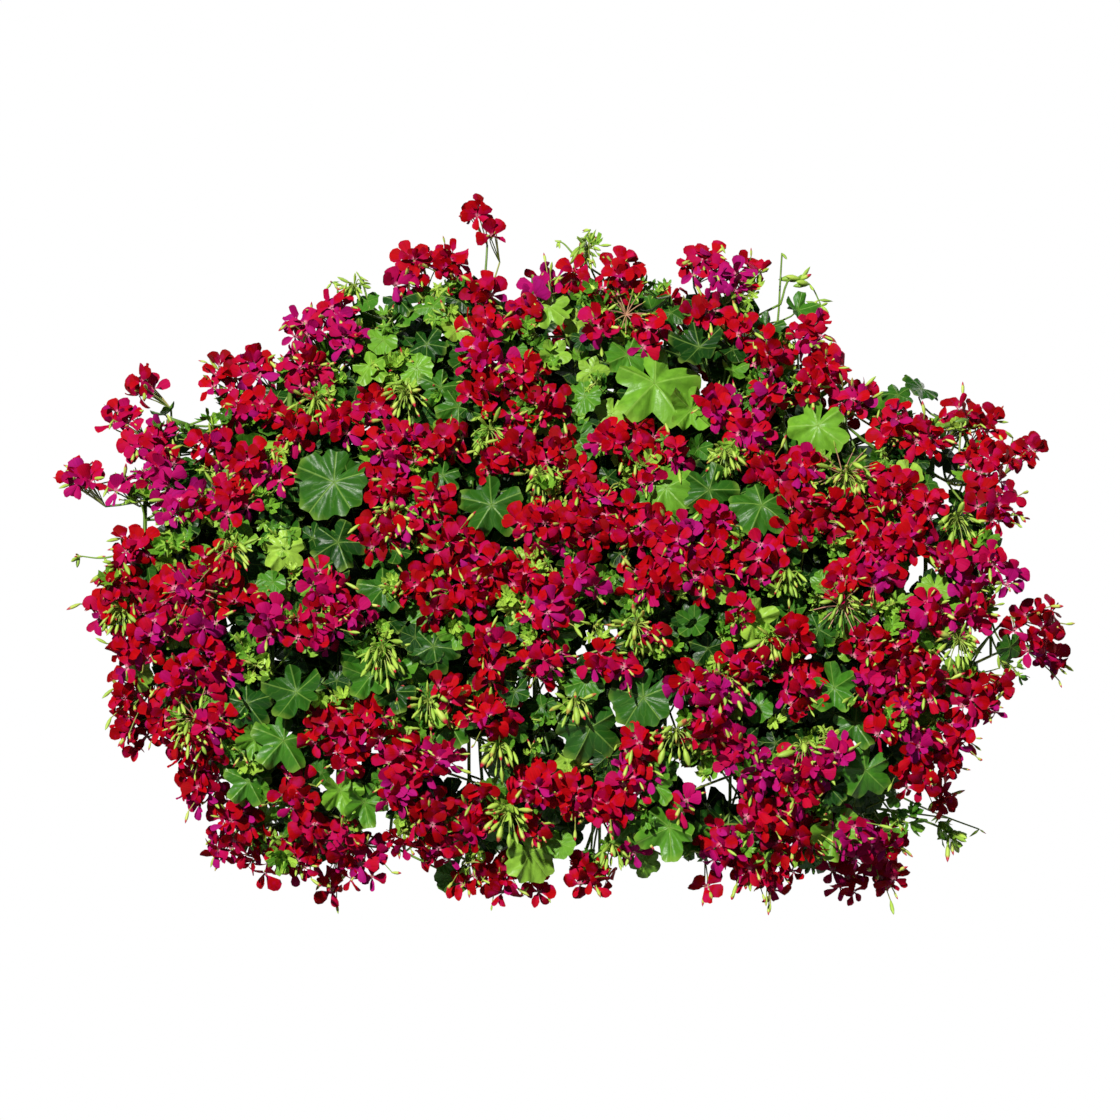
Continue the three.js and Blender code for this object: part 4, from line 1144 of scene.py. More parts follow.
# The darkest stops, near-black green, are painted shade for the leaves deep inside the foliage.
LEAF = IvyLeaf(
    "ivy_geranium_leaf", 0.36,
    stops=((0.0, "061A08"), (0.3, "1C4A12"), (0.6, "468420"), (0.82, "78B232"), (1.0, "B2D850")),
)
STALK = GreenStalk(
    "geranium_stalk", 0.42, stops=((0.0, "3E6B26"), (0.5, "7FA63C"), (0.8, "B9B35A"), (1.0, "CF8E84")),
)
BUD = GeraniumBud(
    "geranium_bud", 0.5, stops=((0.0, "7AA63A"), (0.5, "B0D450"), (1.0, "D0E06A")), other="C2123A",
)
SOIL = PottingSoil("potting_soil", 0.95)
PLASTIC = MouldedPolypropylene("moulded_polypropylene", 0.48, 1.49)
STEEL = PowderCoatedSteel("powder_coated_steel", 0.42, 1.5)
FLOOR = StudioPaint("studio_floor_paint", 0.9)


# ---------------------------------------------------------------- growing with Geometry Nodes


@dataclass
class GrowthTree:
    """The node tree that turns places and lines into shapes and stalks, with its inputs."""

    tree: bpy.types.GeometryNodeTree | None = None
    inputs: dict[str, str] = field(default_factory=dict)

    def build(self) -> None:
        """Builds the tree.

        A point with a shape number of 0 or more gets that shape, turned by its own facing and
        along directions. Every edge becomes a stalk as thick as its points say.
        """
        self.tree = bpy.data.node_groups.new("plant_growth", "GeometryNodeTree")
        face = self.tree.interface
        for name, kind, default in (
            ("Plan", "Geometry", None), ("Shapes", "Collection", None),
            ("Shape Finish", "Material", None), ("Stalk Finish", "Material", None),
            ("Size Variation", "Float", 0.08), ("Stalk Sides", "Int", 5), ("Seed", "Int", 7),
        ):
            socket = face.new_socket(name=name, in_out="INPUT", socket_type=f"NodeSocket{kind}")
            if default is not None:
                socket.default_value = default
            self.inputs[name] = socket.identifier
        face.new_socket(name="Growth", in_out="OUTPUT", socket_type="NodeSocketGeometry")
        add = partial(add_node, self.tree)
        given = add("NodeGroupInput").outputs
        facing, along, shape, size, thickness = [
            add("GeometryNodeInputNamedAttribute", {"Name": name}, data_type=kind)
            for name, kind in (
                ("facing", "FLOAT_VECTOR"), ("along", "FLOAT_VECTOR"), ("shape", "INT"), ("size", "FLOAT"),
                ("thickness", "FLOAT"),
            )
        ]
        has_shape = add(
            "FunctionNodeCompare", {"A": shape, "B": -1}, data_type="INT", operation="GREATER_THAN",
        )
        shapes = add(
            "GeometryNodeCollectionInfo",
            {"Collection": given["Shapes"], "Separate Children": True, "Reset Children": True},
        )
        turn = add(
            "FunctionNodeAxesToRotation", {"Primary Axis": facing, "Secondary Axis": along},
            primary_axis="Z", secondary_axis="Y",
        )
        low, high = [
            add(MATHS, (1.0, given["Size Variation"]), operation=step) for step in ("SUBTRACT", "ADD")
        ]
        limits = {"Min": low, "Max": high, "Seed": given["Seed"]}
        vary = add("FunctionNodeRandomValue", limits, data_type="FLOAT")
        scale = add(MATHS, (size, vary), operation="MULTIPLY")
        points = add("GeometryNodeMeshToPoints", {"Mesh": given["Plan"], "Selection": has_shape})
        placed = add(
            "GeometryNodeInstanceOnPoints",
            {
                "Points": points, "Instance": shapes, "Pick Instance": True, "Instance Index": shape,
                "Rotation": turn, "Scale": scale,
            },
        )
        lines = add("GeometryNodeMeshToCurve", {"Mesh": given["Plan"]})
        ring = add("GeometryNodeCurvePrimitiveCircle", {"Resolution": given["Stalk Sides"], "Radius": 1.0})
        tubes = add(
            "GeometryNodeCurveToMesh",
            {"Curve": lines, "Profile Curve": ring, "Scale": thickness, "Fill Caps": True},
        )
        real = add("GeometryNodeRealizeInstances", {"Geometry": placed})
        dressed = [
            add("GeometryNodeSetMaterial", {"Geometry": mesh, "Material": given[finish]})
            for mesh, finish in ((tubes, "Stalk Finish"), (real, "Shape Finish"))
        ]
        add("NodeGroupOutput", {"Growth": add("GeometryNodeJoinGeometry", {"Geometry": dressed})})


@dataclass
class Growth:
    """Everything that grows in one piece: shapes at places, and stalks along lines, in millimetres."""

    places: list[tuple] = field(default_factory=list)
    stalks: list[tuple] = field(default_factory=list)

    def add(
        self, point: Vector, facing: Vector, along: Vector, size: float, shape: int, tint: float
    ) -> None:
        """Adds one shape.

        Args:
            point: where it stands.
            facing: the way its front faces.
            along: the way it points.
            size: its size in millimetres.
            shape: its number on the shelf.
            tint: picks its colour, from 0 to 1.
        """
        self.places.append((point, facing, along, size, shape, tint))

    def bud(self, point: Vector, along: Vector, size: float, shape: int, tint: float) -> None:
        """Adds one bud, whose front faces outwards as far as it can."""
        self.add(point, cross_axes(along, OUT)[0], along, size, shape, tint)

    def stalk(self, points: list[Vector], start: float, end: float, tint: float) -> None:
        """Adds one stalk along points, whose radius runs from start to end."""
        self.stalks.append((points, start, end, tint))

    def plan_mesh(self, name: str) -> bpy.types.Mesh:
        """Writes the plan as a mesh of points and edges with named attributes.

        Args:
            name: the mesh's name.

        Returns:
            The mesh.
        """
        points, facing, along, size, shape, tint = [list(values) for values in zip(*self.places)]
        points, size = [p * MM for p in points], [s * MM for s in size]
        thickness = [0.0] * len(points)
        edges = []
        for line, start, end, shade in self.stalks:
            first = len(points)
            for i, point in enumerate(line):
                points.append(point * MM)
                thickness.append(lerp(start, end, i / (len(line) - 1)) * MM)
                tint.append(shade)
            edges += [(first + i, first + i + 1) for i in range(len(line) - 1)]
        blank = len(points) - len(facing)
        facing += [UP] * blank
        along += [OUT] * blank
        size += [0.0] * blank
        shape += [-1] * blank
        mesh = bpy.data.meshes.new(name)
        mesh.from_pydata([tuple(p) for p in points], edges, [])
        for key, kind, values in (
            ("facing", "FLOAT_VECTOR", facing), ("along", "FLOAT_VECTOR", along), ("size", "FLOAT", size),
            ("shape", "INT", shape), ("tint", "FLOAT", tint), ("thickness", "FLOAT", thickness),
        ):
            layer = mesh.attributes.new(key, kind, "POINT")
            flat = np.array([tuple(v) for v in values] if "VECTOR" in kind else values).ravel()
            number_type = np.int32 if kind == "INT" else np.float32
            layer.data.foreach_set("vector" if "VECTOR" in kind else "value", flat.astype(number_type))
        return mesh


@dataclass
class Nursery:
    """Grows each plan into a plain piece that rides on the model."""

    shelf: ShapeShelf
    tree: GrowthTree
    made: int = 0
    triangles: int = 0

    def grow(
        self, name: str, growth: Growth, shape: Shape, finish: bpy.types.Material, slot: str,
        nodes: tuple[str, ...] = (), stalks: bpy.types.Material | None = None, sides: int = 5,
        variation: float = 0.08,
    ) -> None:
        """Grows one piece.

        Args:
            name: the piece's name.
            growth: its plan.
            shape: what its places get.
            finish: the material of those shapes.
            slot: the record's material slot; not used.
            nodes: the model's nodes that the piece stands for.
            stalks: the material of its stalks.
            sides: how many sides a stalk has.
            variation: how much sizes differ, either way.
        """
        self.made += 1
        draft = bpy.data.objects.new(f"{name}_plan", growth.plan_mesh(f"{name}_plan"))
        bpy.context.scene.collection.objects.link(draft)
        grower = draft.modifiers.new("growth", "NODES")
        grower.node_group = self.tree.tree
        for key, value in (
            ("Shapes", self.shelf.shelves[shape]), ("Shape Finish", finish),
            ("Stalk Finish", stalks or finish), ("Size Variation", variation), ("Stalk Sides", sides),
            ("Seed", self.made),
        ):
            grower[self.tree.inputs[key]] = value
        graph = bpy.context.evaluated_depsgraph_get()
        mesh = bpy.data.meshes.new_from_object(draft.evaluated_get(graph), depsgraph=graph)
        mesh.name = name
        for key in ("facing", "along", "size", "shape", "thickness"):
            if key in mesh.attributes:
                mesh.attributes.remove(mesh.attributes[key])
        draft.modifiers.remove(grower)
        bpy.data.objects.remove(draft)
        piece = bpy.data.objects.new(name, mesh)
        bpy.context.scene.collection.objects.link(piece)
        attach(piece, "root")
        if nodes:
            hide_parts(*nodes)
        count = sum(len(p.vertices) - 2 for p in mesh.polygons)
        self.triangles += count
        shapes, lines = len(growth.places), len(growth.stalks)
        LOG.info("%s: %d shapes, %d stalks, %d triangles", name, shapes, lines, count)


# ---------------------------------------------------------------- the plants


@dataclass
class Bunch:
    """One bunch of flowers: florets in tufts, each tuft on its own umbel of stalks."""

    number: int
    tufts: tuple[tuple[float, float, float], ...]
    bulge: float
    shelf: ShapeShelf
    petal_length: float = 17.6
    floret_room: float = 12.4  # half the space that one floret takes in a tuft
    dome: float = 0.35  # how steeply the sides of a tuft fall back
    umbel_depth: float = 34
    upper_petals: tuple[float, ...] = (60, 120)
    lower_petals: tuple[float, ...] = (196, 270, 344)
    pedicel: float = 0.75
    peduncle: float = 1.5
    petals: Growth = field(default_factory=Growth)
    greens: Growth = field(default_factory=Growth)
    draw: random.Random = field(init=False)

    def __post_init__(self) -> None:
        """Seeds the bunch's own stream of random numbers."""
        self.draw = random.Random(99 + self.number)

    def floret(self, centre: Vector, facing: Vector, root: Vector, tint: float, size: float) -> None:
        """Places one floret on its stalk.

        Args:
            centre: the floret's heart.
            facing: the way it faces.
            root: where its stalk starts.
            tint: picks its colour.
            size: the length of its petals.
        """
        draw, shelf = self.draw, self.shelf
        side, across = cross_axes(facing, ALONG)
        roll = draw.uniform(-0.8, 0.8)
        opening = math.radians(draw.triangular(-15, 55, 12))
        for angle in (*self.upper_petals, *self.lower_petals):
            upper = angle in self.upper_petals
            turn = math.radians(angle + draw.uniform(-12, 12)) + roll
            spoke = spoke_at(side, across, -turn)
            tilt = opening + math.radians(draw.uniform(-26, 26) + (draw.choice((-30, 42)) if upper else 0))
            along, front = spoke_at(spoke, facing, tilt), spoke_at(facing, spoke, -tilt)
            front += along.cross(front) * draw.uniform(-0.5, 0.5)
            length = size * (0.88 if upper else 1.02) * draw.uniform(0.9, 1.08)
            shade = clamp(tint + draw.uniform(-0.12, 0.12) + (0.3 if upper else 0), 0, 1)
            kinds = (shelf.lower_petals, shelf.counts[Shape.PETAL]) if upper else (0, shelf.lower_petals)
            self.petals.add(centre + along * 0.8, front, along, length, draw.randrange(*kinds), shade)
        foot = centre - facing * 7.5
        self.greens.add(foot, across, facing, 8.5, 0, draw.uniform(0.2, 0.7))
        bend = foot - facing * 8 + UP * draw.uniform(0, 5)
        stalk = bezier(root, bend, foot + facing, 4)
        self.greens.stalk(stalk, self.pedicel, self.pedicel, draw.uniform(0.25, 1.0))

    def tuft(self, x: float, z: float, width: float, lean: float) -> Vector:
        """Places the florets of one tuft.

        Args:
            x: its place along the box.
            z: its height.
            width: its width.
            lean: how far its tints lean to magenta.

        Returns:
            The point where its stalks meet.
        """
        draw = self.draw
        point, normal = FORM.surface(x, z, self.bulge)
        aim = (normal * 0.6 + (OUT * 0.7 if self.bulge > 0 else normal * 0.4) + UP * 0.3).normalized()
        side, across = cross_axes(aim, ALONG)
        core = BOX.clear(point - normal * self.umbel_depth, 4)
        number = max(1, round((width / self.floret_room) ** 2 * 0.95))
        phase = draw.uniform(0, FULL_TURN)
        shade = draw.triangular(max(0, lean - 0.4), min(0.9, lean + 0.45), lean)
        for k in range(number):
            centre_one = number > 3 and k == number - 1
            ring = number - 1 if number > 3 else number
            angle = phase + k / ring * FULL_TURN + draw.uniform(-0.25, 0.25)
            spread = (0.74, 1.02) if k % 3 else (0.4, 0.7)
            reach = 0 if centre_one or number == 1 else max(width - 14, 8) * draw.uniform(*spread)
            offset = spoke_at(side, across, angle) * reach
            depth = draw.uniform(-4, 5) + (6 if centre_one else 3 - reach * self.dome)
            centre = BOX.clear(point + offset + aim * depth, 10)
            facing = (aim + offset / width + shake(draw, 0.5, 0.25, 0.5)).normalized()
            tint = clamp(shade + draw.uniform(-0.35, 0.35), 0, 1)
            self.floret(centre, facing, core, tint, self.petal_length * draw.uniform(0.86, 1.06))
        self.stray_buds(point, aim, core, width)
        return core

    def stray_buds(self, point: Vector, aim: Vector, core: Vector, width: float) -> None:
        """Adds the few buds and seed stalks that stand out between the florets of a tuft.

        Args:
            point: the middle of the tuft.
            aim: the way it faces.
            core: where its stalks meet.
            width: its width.
        """
        draw = self.draw
        side, across = cross_axes(aim, ALONG)
        for _ in range(draw.randrange(2, 3 + round(width / 7))):
            angle, reach = draw.uniform(0, FULL_TURN), width * draw.uniform(0.2, 0.95)
            spoke = spoke_at(side, across, angle)
            tip = BOX.clear(point + spoke * reach + aim * draw.uniform(0, 9), 6)
            lean = aim * draw.uniform(0.0, 0.8) + spoke * draw.uniform(0.2, 1.0)
            along = (lean - UP * draw.uniform(-0.3, 0.9)).normalized()
            self.greens.bud(tip, along, draw.uniform(8, 16), 1, draw.uniform(0.4, 1.0))
            stalk = bezier(core, (core + tip) / 2 + aim * 6, tip + along, 4)
            self.greens.stalk(stalk, *THREAD, draw.uniform(0.5, 0.8))

    def plan(self, stems: "Stems") -> None:
        """Plans the whole bunch: its main stalk, then tuft by tuft.

        Args:
            stems: what the bunch grows from.
        """
        mean_x, mean_z = [sum(tuft[i] for tuft in self.tufts) / len(self.tufts) for i in (0, 1)]
        point, normal = FORM.surface(mean_x, mean_z - 6, self.bulge)
        heart = BOX.clear(point - normal * (self.umbel_depth + 16), 6)
        _, root = stems.nearest(heart, 50)
        sag = (heart + root) / 2 + UP * self.draw.uniform(-14, 10)
        self.greens.stalk(bezier(root, sag, heart, 6), 1.8, self.peduncle, 0.45)
        for x, z, width in self.tufts:
            core = self.tuft(x, z, width, MAGENTA_BUNCHES.get(self.number, RED_LEAN))
            bend = (core + heart) / 2 - normal * 8
            self.greens.stalk(bezier(heart, bend, core, 5), self.peduncle, 1.1, self.draw.uniform(0.3, 0.7))


@dataclass
class Flowers:
    """All bunches, each grown as two pieces: its petals, and its stalks with the calyces."""

    nursery: Nursery

    def build(self, stems: "Stems") -> None:
        """Grows every bunch.

        Args:
            stems: what the bunches grow from.
        """
        red, magenta = (RED_PETAL.make(), "petals_red"), (MAGENTA_PETAL.make(), "petals_magenta")
        for number, tufts in enumerate((*BUNCHES, *BACK_BUNCHES), start=1):
            bulge = FORM.front if number <= len(BUNCHES) else FORM.back
            bunch = Bunch(number, tufts, bulge, self.nursery.shelf)
            bunch.plan(stems)
            finish, slot = magenta if number in MAGENTA_BUNCHES else red
            nodes = (f"blooms_{number:02d}",)
            self.nursery.grow(
                f"petals_{number:02d}", bunch.petals, Shape.PETAL, finish, slot, nodes, variation=0.07,
            )
            self.nursery.grow(
                f"umbel_{number:02d}", bunch.greens, Shape.CALYX, stems.bud_finish, "foliage", nodes,
                stems.stalk_finish, 4,
            )


@dataclass
class Stems:
    """The leafy stems, with their leaves, petioles and buds."""

    nursery: Nursery
    plan: StemPlan = field(default_factory=StemPlan)
    large: float = 28  # a leaf with this reach isn't hidden by small ones
    whole: float = 20  # a planned leaf with this reach is seen whole, and is one of the finer ones
    foremost: float = -340  # how far out the stalks of a bud cluster end
    golden: float = 2.4  # the turn in radians from one stalk of an umbel to the next
    sprig_range: tuple[float, float] = (-300, -60)  # how far out and back the loose shoots run
    bare_stalks: int = 15
    paths: list[list[list[Vector]]] = field(default_factory=list)
    leaves: list[Growth] = field(default_factory=list)
    broad: list[Growth] = field(default_factory=list)
    buds: list[Growth] = field(default_factory=list)
    stalk_finish: bpy.types.Material | None = None
    bud_finish: bpy.types.Material | None = None

    def lay_out(self) -> None:
        """Works out every stem's course and makes the materials that flowers share."""
        self.stalk_finish, self.bud_finish = STALK.make(), BUD.make()
        for number in range(self.plan.count):
            self.paths.append(self.plan.courses(number))
            for kind in (self.leaves, self.broad, self.buds):
                kind.append(Growth())
            for course, base in zip(self.paths[-1], (3.6, 2.6, 2.6)):
                self.leaves[-1].stalk(course, base, 1.6, 0.3)

    def nearest(self, target: Vector, length: float) -> tuple[int, Vector]:
        """The place on a stem whose distance from a point is nearest to a length.

        Args:
            target: the point.
            length: the natural length of what grows there.

        Returns:
            The stem's number and the place.
        """
        best = (math.inf, 0, Vector())
        for number, courses in enumerate(self.paths):
            for place in [place for course in courses for place in course[2:]]:
                # A stalk that would have to grow back from in front counts as 25 mm worse.
                miss = abs((place - target).length - length) + (0 if place.y >= target.y - 4 else 25)
                if miss < best[0]:
                    best = (miss, number, place)
        return best[1], best[2]

    def leaf(
        self, centre: Vector, facing: Vector, radius: float, tint: float, draw: random.Random,
        holder: tuple[int, Vector] | None = None, kind: int | None = None, broad: bool = False,
    ) -> None:
        """Places one leaf on its stalk.

        Args:
            centre: the middle of the leaf.
            facing: the way it faces.
            radius: its reach.
            tint: picks its green.
            draw: the stream of random numbers.
            holder: for a crinkled young leaf, its stem's number and where its stalk starts.
            kind: its kind on the shelf, where that is settled.
            broad: whether it is one of the finer leaves that are seen whole.
        """
        number, root = holder or self.nearest(centre, 55)
        side, across = cross_axes(facing, ALONG)
        along = spoke_at(side, across, draw.uniform(-0.8, 0.8) - math.pi / 2)
        shelf = self.nursery.shelf
        kinds = (shelf.grown_leaves, shelf.counts[Shape.LEAF]) if holder else (0, shelf.grown_leaves)
        drawn = draw.randrange(*kinds)
        growth = (self.broad if broad else self.leaves)[number]
        growth.add(centre, facing, along, radius, drawn if kind is None else kind, tint)
        under = centre - facing * (radius * 0.05 + 0.6)
        bend = under - facing * min(24, (under - root).length * 0.5)
        steps, base = (2, 0.8) if holder else (5, 1.3)
        growth.stalk(bezier(root, bend, under, steps), base, 0.8, 0.2 + 0.5 * tint)

    def add_planned_leaves(self) -> None:
        """Places the leaves that the plan names."""
        draw = random.Random(9)
        for places, bulge in ((LEAVES, FORM.front), (BACK_LEAVES, FORM.back)):
            for x, z, radius in places:
                height = min(z, FORM.top(x) - radius - 22) if bulge < 0 else z
                point, normal = FORM.surface(x, height, bulge)
                facing = normal + UP * 0.35 + (OUT * 0.4 if bulge > 0 else Vector())
                facing += Vector((draw.uniform(-0.45, 0.45), 0, draw.uniform(-0.3, 0.5)))
                drawn = clamp(0.6 + draw.uniform(-0.4, 0.35), 0, 1)
                tint, kind = NOTED_LEAVES.get((x, z), (drawn, None))
                centre = BOX.clear(point - normal * (8 if radius < self.large else 2), radius * 0.6)
                reach, broad = radius * (1.0 if radius > 30 else 1.08), radius >= self.whole
                self.leaf(centre, facing.normalized(), reach, tint, draw, kind=kind, broad=broad)

    def scatter(
        self, spacing: float, radii: tuple[float, float], over: bool, draw: random.Random,
    ) -> list[tuple[float, float, float]]:
        """Uneven, staggered places inside the plant's edge and clear of its sky gaps.

        Args:
            spacing: the distance between places.
            radii: the smallest and largest reach of what stands there.
            over: whether it would hide the large planned leaves, and so keeps clear of them.
            draw: the stream of random numbers.

        Returns:
            The x, z and reach of each.
        """
        found = []
        left, width, low, height = -510, 1020, -358, 720
        kept_clear = [(*gap, 0.6) for gap in SKY_GAPS]
        kept_clear += [(*leaf, 0.3) for leaf in LEAVES if over and leaf[2] >= self.large]
        for row in range(round(height / spacing)):
            for column in range(round(width / spacing)):
                x = left + (column + 0.5 * (row % 2)) * spacing + draw.uniform(-0.4, 0.4) * spacing
                z = low + row * spacing + draw.uniform(-0.4, 0.4) * spacing
                radius = draw.uniform(*radii)
                reach = radius * 0.75
                around = ((reach, 0), (-reach, 0), (0, reach), (0, -reach))
                if all(inside_edge(x + dx, z + dz) for dx, dz in around) and not any(
                    math.hypot(x - cx, z - cz) < room * 0.9 + radius * share
                    for cx, cz, room, share in kept_clear
                ):
                    found.append((x, z, radius))
        return found

    def add_layer(
        self, spacing: float, depths: tuple[float, float], radii: tuple[float, float],
        tints: tuple[float, float], bulge: float, seed: int,
    ) -> None:
        """Fills one layer of leaves under the outer surface.

        Args:
            spacing: the distance between leaves.
            depths: the least and greatest depth under the surface.
            radii: the smallest and largest leaf.
            tints: the darkest and brightest green; the deeper layers get darker greens, painted shade for
                the depths of the foliage.
            bulge: which side of the plant the layer is on.
            seed: fixes the random numbers.
        """
        draw = random.Random(seed)
        over = bulge > 0 and depths[0] < 16
        for x, z, radius in self.scatter(spacing, radii, over, draw):
            point, normal = FORM.surface(x, z, bulge)
            room = abs(point.y - FORM.middle(z))
            facing = normal + UP * 0.4 + shake(draw, 0.5, 0.5, 0.5)
            centre = BOX.clear(point - normal * min(draw.uniform(*depths), room * 1.2), radius * 0.6)
            self.leaf(centre, facing.normalized(), radius, draw.uniform(*tints), draw)

    def add_shoot_tips(self, spacing: float, seed: int) -> None:
        """Adds the tips of the shoots: tufts of crinkled young leaves with a few bracts.

        Args:
            spacing: the distance between tips.
            seed: fixes the random numbers.
        """
        draw = random.Random(seed)
        for x, z, reach in self.scatter(spacing, (9, 17), True, draw):
            point, normal = FORM.surface(x, z, FORM.front)
            heart = BOX.clear(point - normal * draw.uniform(4, 20), 10)
            number, root = self.nearest(heart, 50)
            self.leaves[number].stalk(bezier(root, heart - normal * 16, heart, 5), 1.2, 0.9, 0.5)
            bright = draw.uniform(0.66, 1.0)
            for _ in range(round(reach * 0.45)):
                offset = Vector((draw.uniform(-1, 1), draw.uniform(-0.6, 0.5), draw.uniform(-1, 1))) * reach
                facing = (normal + OUT * 0.3 + UP * 0.3 + shake(draw, 0.8, 0.8, 0.8)).normalized()
                tint = clamp(bright + draw.uniform(-0.2, 0.2), 0, 1)
                size = reach * draw.uniform(0.4, 0.8)
                self.leaf(heart + offset, facing, size, tint, draw, (number, heart))
            for _ in range(round(reach * 0.3)):
                spoke = (normal * 0.6 + shake(draw, 1, 1, 1)).normalized()
                place = heart + spoke * reach * draw.uniform(0.1, 0.6)
                size, kind = draw.uniform(7, 14), draw.choice((0, 2, 2))
                self.buds[number].bud(place, spoke, size, kind, draw.uniform(0.3, 1.0))

    def bud_cluster(self, x: float, z: float, reach: float, draw: random.Random) -> None:
        """Places one drooping cluster of buds with a few young leaves.

        Args:
            x: its place along the box.
            z: its height.
            reach: how far its buds stand out.
            draw: the stream of random numbers.
        """
        point, normal = FORM.surface(x, z, FORM.front)
        centre = point - normal * 2
        number, root = self.nearest(centre, 60)
        growth = self.buds[number]
        growth.stalk(bezier(root, centre - normal * 22, centre, 6), 1.3, 1.1, 0.45)
        count = max(6, round(reach * 0.85))
        turn = draw.uniform(0, FULL_TURN)
        aim = (normal + OUT * 0.5).normalized()
        side, across = cross_axes(aim, ALONG)
        for k in range(count):
            share = math.sqrt((k + 0.5) / count)
            spoke = spoke_at(side, across, turn + k * self.golden) * share + aim * draw.uniform(0.3, 0.8)
            spoke.normalize()
            length = reach * draw.triangular(0.3, 1.1, 0.8)
            tip = centre + spoke * length - UP * length * 0.25
            tip.y = max(tip.y, self.foremost)
            bend = centre + spoke * length * 0.7 + UP * 3
            droop = spoke * draw.uniform(0.3, 1.0) - UP * draw.uniform(0.1, 0.9)
            droop.y = max(droop.y, -0.3)
            droop.normalize()
            tint = draw.uniform(0.2, 0.85)
            growth.stalk(bezier(centre, bend, tip, 4), *THREAD, 0.5 + 0.2 * tint)
            growth.bud(tip, droop, draw.triangular(8, 21, 13), draw.choice((0, 0, 0, 1, 2)), tint)
        for _ in range(3):
            place = centre + shake(draw, 1, 0.3, 1) * reach * 0.8
            facing = (aim + UP * 0.3 + shake(draw, 0.5, 0.5, 0.5)).normalized()
            spot = BOX.clear(place - normal * 6, 6)
            self.leaf(spot, facing, draw.uniform(7, 12), draw.uniform(0.7, 1.0), draw, (number, centre))

    def bare_umbel(self, x: float, z: float, reach: float, draw: random.Random) -> None:
        """Places one umbel of bare, pale pink stalks.

        Args:
            x: its place along the box.
            z: its height.
            reach: the length of its stalks.
            draw: the stream of random numbers.
        """
        point, normal = FORM.surface(x, z, FORM.front)
        centre = point - normal * 4
        number, root = self.nearest(centre, 60)
        growth = self.buds[number]
        growth.stalk(bezier(root, centre - normal * 24, centre, 6), 1.4, 1.3, 0.6)
        side, across = cross_axes(normal, ALONG)
        for k in range(self.bare_stalks):
            angle = k * self.golden + draw.uniform(-0.2, 0.2)
            spoke = (spoke_at(side, across, angle) + normal * draw.uniform(0.1, 0.9)).normalized()
            tip = centre + spoke * reach * draw.uniform(0.75, 1.1)
            line = bezier(centre, (centre + tip) / 2 + UP * 2, tip, 3)
            growth.stalk(line, *THREAD, draw.uniform(0.9, 1.0))
            growth.bud(tip, spoke, draw.uniform(5, 9), 0, draw.uniform(0.3, 0.9))

    def add_sprigs(self) -> None:
        """Adds the loose shoots, with buds and bracts along them."""
        draw = random.Random(77)
        kinds = self.nursery.shelf.counts[Shape.BUD]
        for places, count, length in SPRIGS:
            line = []
            for x, z in places:
                point, _ = FORM.surface(x, z, FORM.front)
                line.append(Vector((x, clamp(point.y + 20, *self.sprig_range), z)))
            course = self.plan.smooth(line, 12)
            number, root = self.nearest(course[0], 40)
            growth = self.buds[number]
            growth.stalk([root, *course], 1.3, 0.9, 0.5)
            for k in range(count):
                place = course[-1] if k < 2 else course[draw.randrange(5, len(course))]
                spoke = Vector((draw.uniform(-0.9, 0.9), draw.uniform(-0.6, 0.3), draw.uniform(-1.1, 0.3)))
                size = length * draw.uniform(0.7, 1.2)
                growth.bud(place, spoke.normalized(), size, draw.randrange(kinds), draw.uniform(0.1, 0.8))

    def build(self) -> None:
        """Plans all leaves and buds, then grows them stem by stem."""
        self.add_planned_leaves()
        self.add_shoot_tips(44, 10)
        # The deeper front layers get darker greens: painted shade for the depths of the foliage.
        for spacing, depths, radii, tints, bulge, seed in (
            (32, (10, 26), (13, 21), (0.04, 1.0), FORM.front, 11),
            (36, (30, 52), (19, 28), (0.05, 0.45), FORM.front, 12),
            (42, (56, 84), (24, 32), (0.0, 0.15), FORM.front, 13),
            (35, (4, 96), (17, 27), (0.15, 0.75), FORM.back, 14),
        ):
            self.add_layer(spacing, depths, radii, tints, bulge, seed)
        draw = random.Random(55)
        for places, place_one in ((BUD_CLUSTERS, self.bud_cluster), (BARE_UMBELS, self.bare_umbel)):
            for x, z, reach in places:
                place_one(x, z, reach, draw)
        self.add_sprigs()
        leaf_finish = LEAF.make()
        for number in range(self.plan.count):
            for name, plans, shape, finish, sides in (
                ("leaves", self.leaves, Shape.LEAF, leaf_finish, 5),
                ("broad_leaves", self.broad, Shape.BROAD, leaf_finish, 5),
                ("buds", self.buds, Shape.BUD, self.bud_finish, 4),
            ):
                if plans[number].places:
                    self.nursery.grow(
                        f"{name}_{number + 1:02d}", plans[number], shape, finish, "foliage",
                        (f"leafy_stem_{number + 1:02d}",), self.stalk_finish, sides,
                    )


# ---------------------------------------------------------------- the box and what holds it


